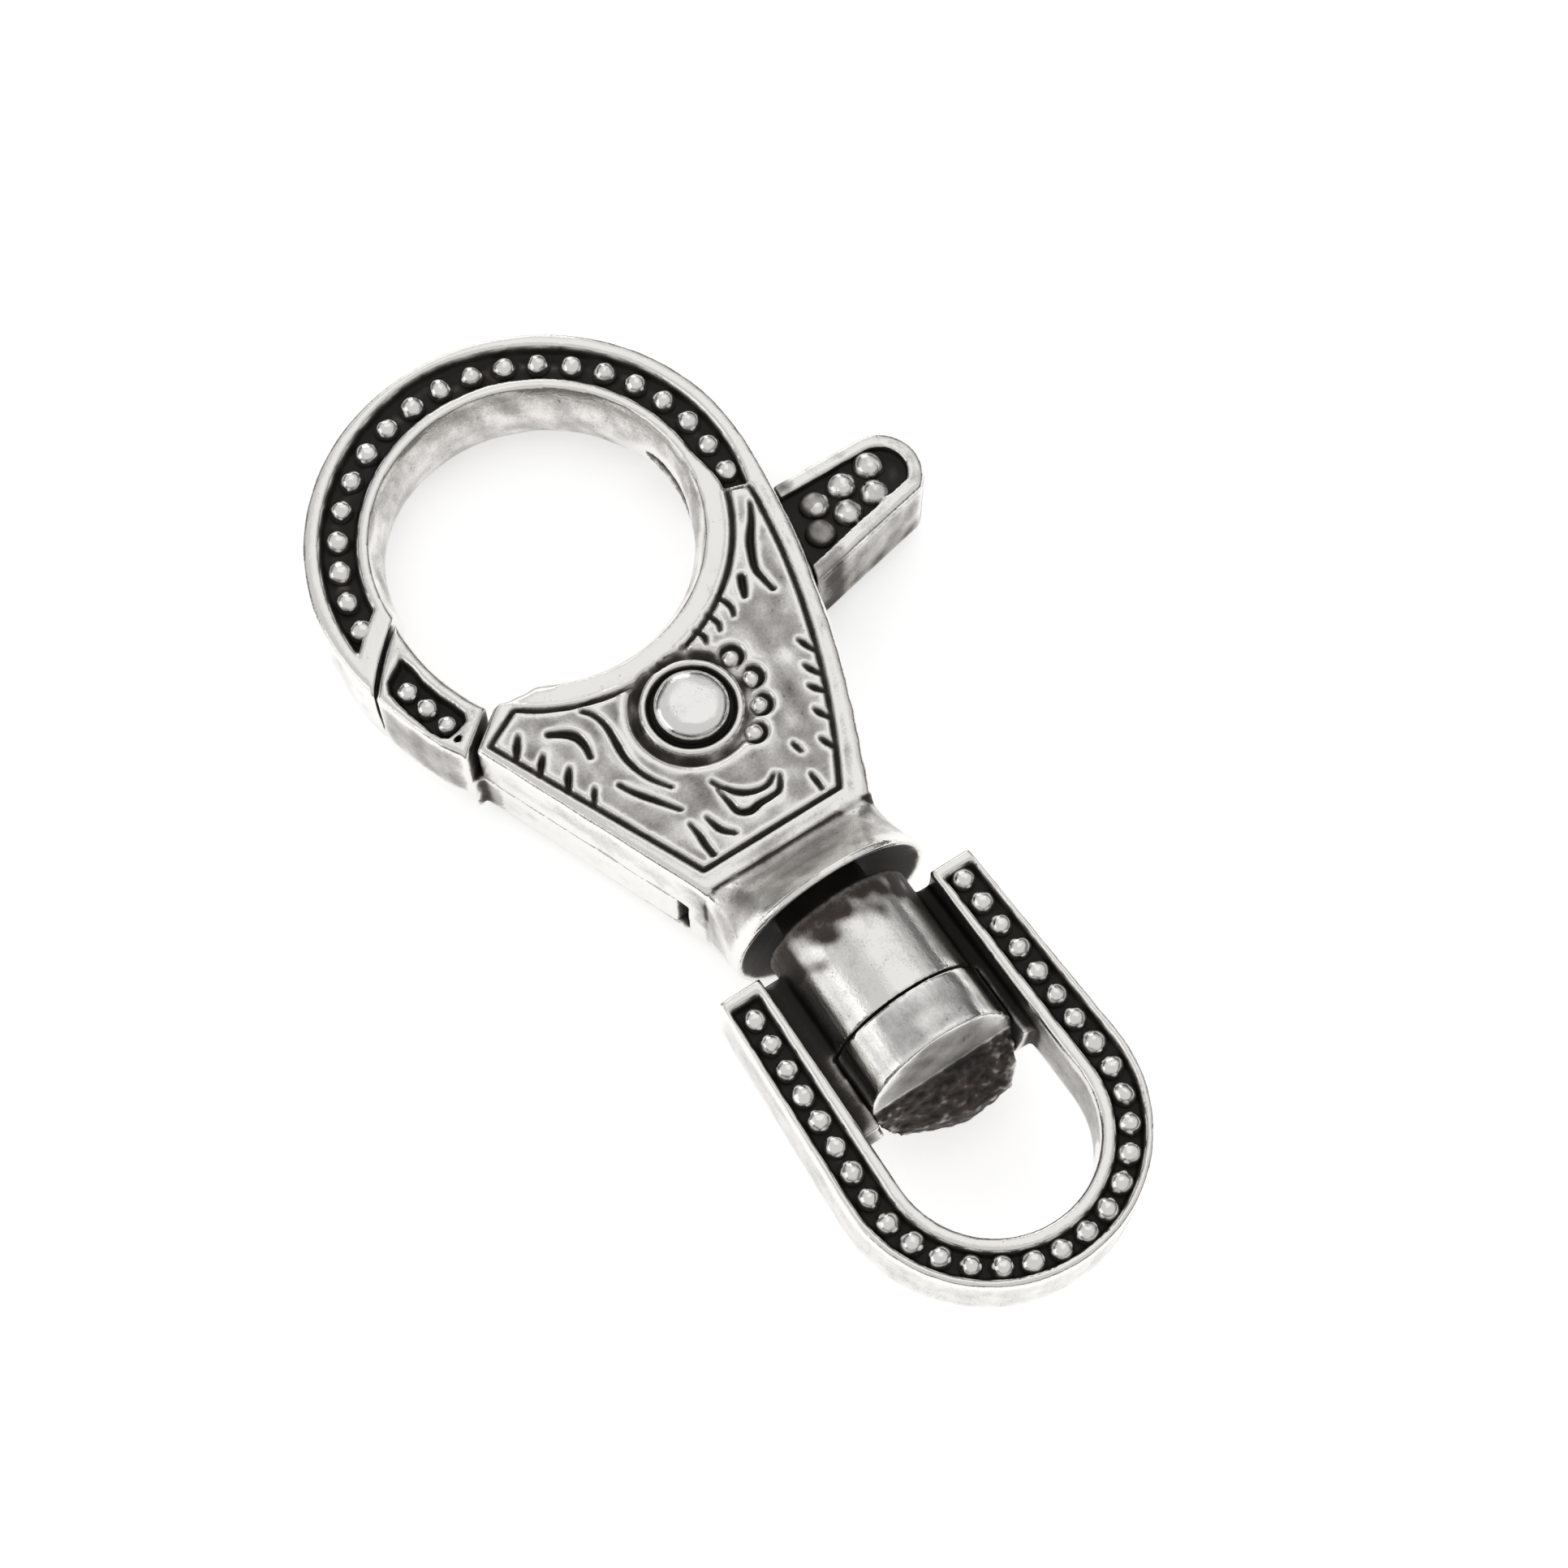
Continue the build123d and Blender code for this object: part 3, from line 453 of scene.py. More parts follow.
# Shield ornament. Each stroke has plan points in layout millimetres, then half widths at its start,
# middle and end.
pivot = (8.8, 0.9)
strokes = {
    "hook": {"half": (0.10, 0.16, 0.07), "route": [
        (6.95, -3.80), (7.24, -3.33), (7.56, -3.04), (8.04, -2.97), (8.5, -3.05)]},
    "longScroll": {"half": (0.06, 0.11, 0.04), "route": [
        (6.81, -2.38), (7.21, -2.09), (7.81, -1.96), (8.45, -2.01), (9.1, -2.06), (9.73, -1.96),
        (10.33, -1.73), (11.0, -1.3)]},
    "shortScroll": {"half": (0.05, 0.10, 0.04), "route": [
        (9.91, -2.78), (10.43, -2.5), (11.04, -2.08), (11.87, -1.5)]},
    "boatFront": {"half": (0.04, 0.10, 0.04), "route": [
        (11.54, -0.07), (12.05, 0.21), (12.5, 0.63), (12.7, 1.11), (12.7, 1.52), (12.48, 1.9)]},
    "boatBack": {"half": (0.04, 0.12, 0.04), "route": [
        (11.91, -0.03), (12.49, 0.03), (12.97, 0.1), (13.2, 0.44), (13.14, 0.89), (13.15, 1.34),
        (13.07, 1.74), (12.6, 2.05)]},
    "leftDash": {"half": (0.04, 0.10, 0.09), "route": [
        (12.46, -1.54), (12.93, -1.48), (13.42, -1.49), (13.85, -1.46)]},
    "rightDash": {"half": (0.04, 0.10, 0.06), "route": [
        (12.55, -0.93), (12.9, -0.85), (13.26, -0.73), (13.6, -0.4)]},
    "dot": {"half": (0.05, 0.07, 0.04), "route": [(11.88, 3.09), (12.32, 3.15)]},
    "smallDash": {"half": (0.04, 0.08, 0.05), "route": [(13.19, 2.94), (13.6, 2.97), (13.9, 2.95)]},
    "flankScroll": {"half": (0.04, 0.14, 0.07), "route": [
        (3.10, 7.05), (3.76, 6.68), (4.39, 6.22), (5.02, 5.89), (5.55, 5.71), (6.05, 5.75),
        (6.52, 5.80)]},
    "flankDash": {"half": (0.13, 0.14, 0.07), "route": [(5.50, 5.12), (6.22, 4.79)]},
    "rightBarb1": {"half": (0.04, 0.09, 0.07), "route": [(8.66, 5.44), (8.92, 5.52), (9.3, 5.68)]},
    "rightBarb2": {"half": (0.04, 0.10, 0.07), "route": [(9.59, 5.07), (9.82, 5.16), (10.15, 5.34)]},
    "rightBarb3": {"half": (0.04, 0.10, 0.07), "route": [(10.32, 4.75), (10.57, 4.9), (10.8, 5.08)]},
    "rightBarb4": {"half": (0.04, 0.10, 0.07), "route": [(11.19, 4.41), (11.44, 4.5), (11.75, 4.68)]},
    "rightBarb5": {"half": (0.04, 0.10, 0.07), "route": [(12.22, 3.98), (12.47, 4.06), (12.8, 4.2)]},
    "leftBarb1": {"half": (0.04, 0.11, 0.09), "route": [(6.39, -4.70), (6.68, -4.91), (7.1, -5.2)]},
    "leftBarb2": {"half": (0.04, 0.11, 0.09), "route": [(7.50, -4.36), (7.8, -4.62), (8.1, -4.85)]},
    "leftBarb3": {"half": (0.04, 0.11, 0.09), "route": [(8.40, -3.85), (8.75, -4.11), (9.15, -4.35)]},
    "leftBarb4": {"half": (0.04, 0.07, 0.07), "route": [(9.55, -3.55), (9.85, -3.75), (10.1, -3.9)]},
    "holeBarb1": {"half": (0.07, 0.09, 0.03), "route": [(5.72, 4.0), (6.24, 4.17), (6.67, 4.04)]},
    "holeBarb2": {"half": (0.07, 0.09, 0.03), "route": [(6.05, 3.3), (6.54, 3.44), (6.9, 3.32)]},
    "holeBarb3": {"half": (0.07, 0.09, 0.03), "route": [(6.35, 2.6), (6.75, 2.74), (7.1, 2.60)]},
    "holeBarb4": {"half": (0.07, 0.08, 0.03), "route": [(6.65, 1.9), (7.0, 2.04), (7.3, 1.92)]},
}
relief = {"grooveDepth": 0.24, "edgeRise": 0.04, "edgeReach": 0.10, "lineHalf": 0.085, "lineRise": 0.035,
          "fieldWave": 0.022, "rimWave": 0.012, "blockTop": 1.7, "blockLow": 1.28}
shieldPlan = {"heel": (6.08, -6.2), "heelRim": 0.5, "leftPoint": (14.15, -2.05), "rightPoint": (14.15, 3.48),
              "flank": (8.4, 6.10), "tipRadius": 7.82, "holeLine": 6.98,
              "startAngle": 71.2, "endAngle": -38.2}
rivetSeat = {"wellRadius": 1.56, "ringRadius": 1.84, "moatRadius": 2.2, "pearlOrbit": 2.37,
             "pearlWell": 0.47, "pearlAngles": (112, 86, 60, 34)}


def arcThrough(first, middle, last, steps):  # plan points of the circle arc through three points
    (ax, ay), (bx, by), (cx, cy) = first, middle, last
    d = 2 * (ax * (by - cy) + bx * (cy - ay) + cx * (ay - by))
    ux = ((ax**2 + ay**2) * (by - cy) + (bx**2 + by**2) * (cy - ay) + (cx**2 + cy**2) * (ay - by)) / d
    uy = ((ax**2 + ay**2) * (cx - bx) + (bx**2 + by**2) * (ax - cx) + (cx**2 + cy**2) * (bx - ax)) / d
    radius = hypot(ax - ux, ay - uy)
    start, end = (np.degrees(np.arctan2(p[1] - uy, p[0] - ux)) for p in (first, last))
    return arcRoute((ux, uy), radius, start, end, steps)


def shieldLoop(grow):  # the shield's line as a closed plan route, moved outwards by grow
    plan = shieldPlan
    heel = polar(plan["heelRim"] - grow, 76, plan["heel"])
    left = (plan["leftPoint"][0] + grow, plan["leftPoint"][1] - 0.7 * grow)
    right = (plan["rightPoint"][0] + grow, plan["rightPoint"][1] + 0.7 * grow)
    tip = polar(plan["tipRadius"] + grow, plan["startAngle"])
    flank = arcThrough(right, (plan["flank"][0], plan["flank"][1] + grow), tip, 40)
    hole = arcRoute((0, 0), plan["holeLine"] - grow, plan["startAngle"], plan["endAngle"], 60)
    return [heel, left] + flank + hole


def smoothRoute(points, per=5):  # rounder route through given points
    ends = [points[0]] + list(points) + [points[-1]]
    out = []
    for p0, p1, p2, p3 in zip(ends, ends[1:], ends[2:], ends[3:]):
        for k in range(per):
            t = k / per
            out.append(tuple(0.5 * (2 * b + (c - a) * t + (2 * a - 5 * b + 4 * c - d) * t * t
                                    + (3 * b - a - 3 * c + d) * t**3) for a, b, c, d in zip(p0, p1, p2, p3)))
    return out + [tuple(points[-1])]


# Distance to the edge of a stroke, with its half widths at its start, middle and end
def routeDistance(x, y, route, half):
    lengths = [0.0]
    for (x0, y0), (x1, y1) in zip(route, route[1:]):
        lengths.append(lengths[-1] + hypot(x1 - x0, y1 - y0))
    shares = np.array(lengths) / lengths[-1]
    widths = np.interp(shares, (0, 0.45, 1), half)
    best = np.full_like(x, 9.0)
    for k, ((x0, y0), (x1, y1)) in enumerate(zip(route, route[1:])):
        dx, dy = x1 - x0, y1 - y0
        t = np.clip(((x - x0) * dx + (y - y0) * dy) / max(dx * dx + dy * dy, 1e-9), 0, 1)
        gap = np.hypot(x - x0 - t * dx, y - y0 - t * dy) - widths[k] - t * (widths[k + 1] - widths[k])
        best = np.minimum(best, gap)
    return best


def insideLoop(x, y, loop):
    inside = np.zeros(len(x), bool)
    for (x0, y0), (x1, y1) in zip(loop, loop[1:] + loop[:1]):
        crosses = (y0 > y) != (y1 > y)
        inside ^= crosses & (x < (x1 - x0) * (y - y0) / (y1 - y0 + 1e-12) + x0)
    return inside


def shieldHeight(x, y):  # relief of the shield's face above or below its flat rim, in millimetres
    depth, edge = relief["grooveDepth"], relief["edgeRise"]
    loop = shieldLoop(0)
    line = routeDistance(x, y, loop + loop[:1], (relief["lineHalf"],) * 3)
    ground = rise(-line, -0.05, 0.12)
    lift = relief["lineRise"] * np.exp(-(((line - relief["edgeReach"]) / 0.09) ** 2))
    for spec in strokes.values():
        gap = routeDistance(x, y, smoothRoute(spec["route"]), spec["half"])
        ground = np.maximum(ground, rise(-gap, -0.06, 0.11))
        lift = np.maximum(lift, edge * np.exp(-(((gap - relief["edgeReach"]) / 0.085) ** 2)))
    out = np.hypot(x - pivot[0], y - pivot[1])
    well = rise(rivetSeat["wellRadius"] + 0.05 - out, 0, 0.12)
    collar = rise(out, 1.5, 1.64) * rise(rivetSeat["ringRadius"] + 0.08 - out, 0, 0.16)
    moat = rise(out, rivetSeat["ringRadius"] - 0.02, 1.9)
    moat = moat * rise(rivetSeat["moatRadius"] + 0.12 - out, 0, 0.22)
    brow = np.exp(-(((out - rivetSeat["moatRadius"] - 0.28) / 0.13) ** 2))
    for angle in rivetSeat["pearlAngles"]:
        px, py = polar(rivetSeat["pearlOrbit"], angle, pivot)
        near = np.hypot(x - px, y - py)
        around = rise(rivetSeat["pearlWell"] + 0.06 - near, 0, 0.14)
        moat = np.maximum(moat, around * (out > rivetSeat["ringRadius"]))
        brim = np.exp(-(((near - rivetSeat["pearlWell"] - 0.14) / 0.09) ** 2))
        brow = np.maximum(brow, brim * (out > 2.4))
    lift = np.maximum(lift * (out > 1.9), 0.05 * brow)
    lift = np.maximum(lift, 0.05 * collar)
    ground = np.maximum(ground * (out > rivetSeat["ringRadius"]), np.maximum(well, moat))
    inside = rise(-line, -9, -0.3) * insideLoop(x, y, loop)
    field = relief["fieldWave"] * wavy(x, y, x * 0, 1.5, 4) * inside * (1 - ground)
    return lift * (1 - ground) - depth * ground + field


ring = {"holeRadius": 6.05, "channelInner": 6.38, "channelOuter": 7.81, "swell": 0.18, "startAngle": 71.5,
        "noseEnd": 11.85, "depth": 0.46, "shoulder": 0.2, "beadLine": 7.13, "beadStart": 78.4,
        "beadEnd": 268.35, "narrowing": 0.46, "narrowFrom": 90}
claw = {"grainSize": 0.075, "triangles": 196000, "ringBlockLow": 1.12, "collarStart": 14.9}
holeCorner = {"place": (4.96, -3.46), "reach": 1.1, "passes": 40}
slit = {"angle": 88, "halfTurn": 17, "height": 0.1, "half": 0.4, "depth": 0.3}
ringBeads = {"count": 20, "radius": 0.46, "spread": 0.06, "dent": 0.09, "dentSize": 0.45, "seed": 3,
             "sunk": 0.40}
pearls = {"count": 4, "radius": 0.36, "spread": 0.05, "dent": 0.05, "dentSize": 0.4, "seed": 8,
          "sunk": 0.30}
collarCup = {"bodyEnd": 15.0, "rimX": 17.3, "radius": 3.85, "axisY": 1.05, "depth": 0.85}


def noseAngle(radius, reach):  # angle round the ring where it comes within reach of the pivot
    far = hypot(*pivot)
    share = (radius**2 + far**2 - reach**2) / (2 * radius * far)
    return degrees(atan2(pivot[1], pivot[0])) - degrees(acos(share)) + 360


def narrowing(turn):  # the channel's inner edge moves out as it nears the shield
    return ring["narrowing"] * rise(ring["narrowFrom"] - turn, 0, ring["narrowFrom"] - ring["startAngle"])


def channelEdge(x, y):  # how far inside the ring's bead channel a point lies
    r = np.hypot(x, y)
    turn = np.degrees(np.arctan2(y, x)) % 360
    outer = ring["channelOuter"] + ring["swell"] * np.exp(-(((turn - 183) / 24) ** 2))
    edge = np.minimum(r - ring["channelInner"] - narrowing(turn), outer - r)
    nose = np.hypot(x - pivot[0], y - pivot[1]) - ring["noseEnd"]
    edge = np.where(y < 0, np.minimum(edge, nose), edge)
    return np.minimum(edge, r * np.radians(turn - ring["startAngle"]))


# A trough with sloped shoulders, rounded lips and an uneven floor
def troughHeight(edge, x, y, depth, shoulder):
    lip = 0.03 * np.exp(-((np.clip(edge, -1, 0) / 0.07) ** 2)) * (edge < 0)
    return -(depth + 0.03 * wavy(x, y, x * 0, 0.8, 27)) * rise(edge, -0.02, shoulder) - lip


def slitShare(x, y, z):  # the narrow mouth of the lever's slot in the wall of the hole
    turn = np.degrees(np.arctan2(y, x)) - slit["angle"]
    span = np.clip(1 - (turn / slit["halfTurn"]) ** 2, 0, 1) ** 0.5
    near = rise(slit["half"] * span - np.abs(z - slit["height"]), 0, 0.12)
    return near * (np.hypot(x, y) < ring["holeRadius"] + 0.5)


def clawGrimeAndShade(x, y, z, normals):
    r = np.hypot(x, y)
    face = lay["faceHeight"]
    edge = channelEdge(x, y)
    dirtAndShade = (0.72 + 0.1 * wavy(x, y, z, 0.9, 44)) * rise(edge, 0.0, 0.12) * (z > 1.0)
    dirtAndShade += 0.05 * (edge < -0.02) * (z > 1.5) * (1 + wavy(x, y, z, 1.1, 46))
    engraved = (z > 1.2) & (z < 1.72) & (x > 1.9) & (x < 14.6) & (r > ring["holeRadius"] + 0.25)
    inShield = insideLoop(x, y, shieldLoop(0.2))
    dirtAndShade += (0.38 + 0.1 * wavy(x, y, z, 0.8, 45)) * (engraved & inShield) * rise(face - z, 0.07, 0.2)
    out = np.hypot(x - pivot[0], y - pivot[1])
    dirtAndShade -= (0.5 + 0.16 * wavy(x, y, z, 0.7, 50)) * (out < 2.4) * (out > 1.86) * rise(face - z, 0.05, 0.2)
    dirtAndShade += 0.1 * (z > 1.5) * (r > ring["channelOuter"] + 0.1) * (x < collarCup["bodyEnd"]) * ~inShield
    pastRing = (x > 1.9) & (r > ring["channelOuter"])
    plate = (z > 1.55) & (x < collarCup["bodyEnd"]) & (pastRing | inShield | (x > 8))
    dirtAndShade += plate * (0.12 + 0.04 * wavy(x, y, z, 1.6, 48))
    dirtAndShade += 0.13 * (insideLoop(x, y, shieldLoop(-0.2)) & (z > 1.6)) * (1 + 0.6 * wavy(x, y, z, 1.2, 9))
    # The collar is darkened with painted shade and left lighter near its rim as a painted highlight band.
    onCollar = rise(x, collarCup["bodyEnd"], 15.4) * (normals[:, 0] < 0.2)
    dirtAndShade += onCollar * (0.24 + 0.05 * wavy(x, y, z, 1.8, 47) - 0.2 * rise(x, 16.5, 17.0))
    # Painted shade: walls facing sideways are darkened in streaks.
    sides = rise(0.6 - np.abs(normals[:, 2]), 0, 0.3) * (z > -1.5) * (x < collarCup["bodyEnd"])
    streakyShade = np.clip(0.22 + 0.07 * wavy(x * 0.4, y * 0.4, z * 1.6, 1.3, 49), 0, 1)
    dirtAndShade += sides * (r > ring["holeRadius"] + 0.4) * streakyShade
    # Painted shade: the inside of the collar's cup is made nearly black.
    axisGap = np.hypot(y - collarCup["axisY"], z)
    inCup = (x > collarCup["rimX"] - collarCup["depth"] - 1.6) & (axisGap < collarCup["radius"] - 0.2)
    dirtAndShade += 0.95 * (inCup & (normals[:, 0] > 0.2))
    # Painted shade: flat faces inside the lever's slot are darkened.
    inSlot = (z < -0.55) & (z > -2.9) & (r > ring["holeRadius"] + 0.03) & (x < 14.5) & (y < 7.9)
    dirtAndShade += 0.5 * (inSlot & (np.abs(normals[:, 2]) > 0.85))
    # Painted shade: the wall of the hole is greyed.
    holeWall = (r < ring["holeRadius"] + 0.4) & (z < 1.55) & (normals[:, 2] < 0.7)
    dirtAndShade += holeWall * np.clip(0.24 + 0.06 * wavy(x, y, z, 0.9, 12) + 0.05 * wavy(x, y, z, 3.5, 13), 0, 1)
    # Painted shade: the slot's mouth in the hole's wall is darkened over its real cut.
    return dirtAndShade + 0.8 * slitShare(x, y, z)


def makeClaw():
    block = prism(shieldLoop(0.26), relief["blockLow"], relief["blockTop"])
    inner, outer = ring["channelInner"] - 0.06, ring["channelOuter"] + ring["swell"] + 0.04
    ringFill = (arcRoute((0, 0), inner, ring["startAngle"] - 0.8, noseAngle(inner, ring["noseEnd"] - 0.2))
                + arcRoute((0, 0), outer, noseAngle(outer, ring["noseEnd"] - 0.2), ring["startAngle"] - 0.8))
    ringBlock = prism(ringFill, claw["ringBlockLow"], relief["blockTop"])
    mesh = castFrom("claw_body", claw["grainSize"], [block, ringBlock])
    co, edges = readPoints(mesh), readEdges(mesh)
    x, y, z = toLayout(co)
    collarZone = rise(x, claw["collarStart"], 15.4) * (x < 16.9)
    co = relax(co, edges, 1)
    co = relax(co, edges, 14, mask=collarZone)
    flankZone = rise(x, 6.0, 7.0) * (x < 15.2) * (y > 3) * ~insideLoop(x, y, shieldLoop(0.34)) * (z > -1.2)
    co = relax(co, edges, 20, mask=flankZone)
    cornerGap = np.hypot(x - holeCorner["place"][0], y - holeCorner["place"][1])
    cornerZone = rise(holeCorner["reach"] - cornerGap, 0, 0.3) * ~insideLoop(x, y, shieldLoop(0.12))
    co = relax(co, edges, holeCorner["passes"], mask=cornerZone)
    r = np.hypot(x, y)
    co = relax(co, edges, 25, mask=rise(-1.1 - z, 0, 0.3) * rise(7.4 - r, 0, 0.3))
    x, y, z = toLayout(co)
    face = lay["faceHeight"]
    # The filled face is carved again: the shield's relief, and the ring's trough for the separate beads
    edge = channelEdge(x, y)
    onFace = (z > face - 0.03) & insideLoop(x, y, shieldLoop(0.26))
    lower = np.where(onFace, shieldHeight(x, y), 0)
    trough = face + troughHeight(edge, x, y, ring["depth"], ring["shoulder"]) - z
    lower = np.where((edge > -0.12) & (z > face - 0.06) & ~onFace, trough, lower)
    topRim = rise(z, face - 0.3, face - 0.05)
    lower = lower + topRim * relief["rimWave"] * wavy(x, y, z, 2.6, 21)
    co = co + layUp * (lower / 1000)[:, None]
    co = relax(co, edges, 1, share=0.35)
    normals = readNormals(mesh)
    walls = 0.02 * wavy(*toLayout(co), 2.2, 31) * (1 - topRim) - slit["depth"] * slitShare(x, y, z)
    co = co + normals * (walls / 1000)[:, None]
    co[:, 2] = np.maximum(co[:, 2], 0)  # the back rests flat
    writePoints(mesh, co)
    mesh = thinOut(mesh, claw["triangles"])
    soilAndShade(mesh, clawGrimeAndShade)
    piece = addPiece("clawCasting", mesh, "castSilver")
    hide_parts("claw_body")
    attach(piece, "claw")
    print("claw cast with", len(mesh.polygons), "faces")


makeClaw()
beadTurns = np.linspace(ring["beadStart"], ring["beadEnd"], 190)
strewBeads("ringBeads", [[polar(ring["beadLine"] + 0.4 * narrowing(turn), turn) for turn in beadTurns]],
           lay["faceHeight"] + lay["beadLift"] - ringBeads["radius"], ringBeads, "claw")
pearlTurns = rivetSeat["pearlAngles"]
strewBeads("rivetPearls", [arcRoute(pivot, rivetSeat["pearlOrbit"], pearlTurns[0], pearlTurns[-1])],
           lay["faceHeight"] + lay["beadLift"] - pearls["radius"], pearls, "claw")

# Rivet: polished dome with a soft dent
rivetHead = {"grainSize": 0.05, "wave": 0.02, "waveSize": 1.3}


def makeRivet():
    mesh = castFrom("pivot_rivet", rivetHead["grainSize"])
    co, edges = readPoints(mesh), readEdges(mesh)
    co = relax(co, edges, 4)
    x, y, z = toLayout(co)
    swell = rivetHead["wave"] * wavy(x, y, z, rivetHead["waveSize"], 14) * rise(z, 1.7, 1.9)
    co = co + layUp * (swell / 1000)[:, None]
    writePoints(mesh, co)

    def grimeAndShade(x, y, z, normals):
        return 0.5 * rise(1.78 - z, 0, 0.25) + 0.05 * rise(z, 1.9, 2.1) * wavy(x, y, z, 0.8, 2)
    soilAndShade(mesh, grimeAndShade, hollowGain=(3, 1))
    piece = addPiece("rivetDome", mesh, "polishedSilver")
    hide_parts("pivot_rivet")
    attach(piece, "claw")
    print("rivet domed")


makeRivet()

# Gate with its lever and thumb tab
gate = {"grainSize": 0.07, "triangles": 150000, "tabTop": 1.1, "depth": 0.46, "shoulder": 0.18, "bulge": 0.3,
        "gateBelow": -4.5, "tabBeyond": 6.8,
        "channel": [(1.50, -6.56), (2.06, -6.38), (2.8, -6.30), (3.5, -6.12), (4.16, -5.88), (4.6, -5.74),
                    (4.93, -5.86), (5.14, -6.35), (5.18, -6.78), (5.02, -6.98), (4.63, -7.17), (3.94, -7.36),
                    (3.1, -7.56), (2.5, -7.62), (2.1, -7.44), (1.9, -7.15), (1.72, -6.85)]}
gateBeads = {"count": 3, "radius": 0.40, "spread": 0.06, "dent": 0.07, "dentSize": 0.4, "seed": 17,
             "sunk": 0.34}
tabDomes = {"count": 3, "radius": 0.6, "spread": 0.04, "dent": 0.1, "dentSize": 0.6, "seed": 23,
            "sunk": 0.42, "first": (4.69, 8.93), "pitch": 1.29, "lean": 97, "apart": 1.16, "skew": -22,
            "dull": 0.2, "dimTo": 9.7, "dim": 0.4}


def gateEdge(x, y):  # how far inside the gate's bead channel a point lies
    loop = gate["channel"]
    gap = routeDistance(x, y, loop + loop[:1], (0, 0, 0))
    return np.where(insideLoop(x, y, loop), gap, -gap)


def gateGrimeAndShade(x, y, z, normals):
    r = np.hypot(x, y)
    onGate = (y < gate["gateBelow"]) & (z > 1.0)
    dirtAndShade = 0.75 * onGate * rise(gateEdge(x, y), 0, 0.1)
    dirtAndShade += (y < gate["gateBelow"]) * (0.33 + 0.06 * wavy(x, y, z, 1.2, 52)) * (r < 9)
    onTab = (y > 7.2) & (z > 0.45) & (z < 1.2) & (normals[:, 2] > 0.2)
    dirtAndShade += 0.5 * onTab * rise(gate["tabTop"] - z, 0.12, 0.3)
    # The tab is darkened overall and towards its root; its underside carries a painted shadow.
    dirtAndShade += 0.35 * (y > gate["tabBeyond"]) * rise(9.3 - y, 0, 0.8) * (z < 1.2)
    dirtAndShade += (y > gate["tabBeyond"]) * (0.3 + 0.08 * wavy(x, y, z, 1.1, 55) + 0.3 * rise(-0.9 - z, 0, 1.0))
    return dirtAndShade + 0.05 * (1 + wavy(x, y, z, 1.6, 6))


def makeGate():
    face = lay["faceHeight"]
    middle = np.mean(gate["channel"], axis=0)
    filler = [tuple(middle + (np.array(p) - middle) * 1.05) for p in gate["channel"]]
    mesh = castFrom("gate_lever", gate["grainSize"], [prism(filler, 1.1, face)])
    co, edges = readPoints(mesh), readEdges(mesh)
    co = relax(co, edges, 2)
    x, y, z = toLayout(co)
    edge = gateEdge(x, y)
    trough = face + troughHeight(edge, x, y, gate["depth"], gate["shoulder"]) - z
    lower = np.where((edge > -0.1) & (z > face - 0.06), trough, 0)
    lower = lower + 0.012 * wavy(x, y, z, 1.8, 41) * rise(z, 0.4, 0.7)
    co = co + layUp * (lower / 1000)[:, None]
    # The gate's inner wall bulges like the ring's
    normals = readNormals(mesh)
    bulge = gate["bulge"] * np.exp(-(((z + 0.3) / 1.1) ** 2)) * rise(normals[:, 1], 0.4, 0.9) * (y < -4.6)
    bulge = bulge * rise(x, 0.6, 1.6) * rise(4.9 - x, 0, 0.9)
    co = co + normals * (bulge / 1000)[:, None]
    writePoints(mesh, co)
    mesh = thinOut(mesh, gate["triangles"])
    soilAndShade(mesh, gateGrimeAndShade)
    piece = addPiece("gateCasting", mesh, "castSilver")
    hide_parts("gate_lever")
    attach(piece, "gate")
    print("gate cast with", len(mesh.polygons), "faces")


makeGate()
strewBeads("gateBeads", [[(2.76, -7.0), (3.70, -6.75), (4.62, -6.50)]],
           lay["faceHeight"] + lay["beadLift"] - gateBeads["radius"], gateBeads, "gate")
tabRoutes = []
for side in (-0.5, 0.5):
    start = polar(side * tabDomes["apart"], tabDomes["skew"], tabDomes["first"])
    tabRoutes.append([start, polar(2 * tabDomes["pitch"], tabDomes["lean"], start)])
strewBeads("tabDomes", tabRoutes, gate["tabTop"] + 0.10 - tabDomes["radius"], tabDomes, "gate")

# Pin with its cut-off head and rough stub
pin = {"grainSize": 0.06, "ledge": 24.0, "roughness": 0.07}


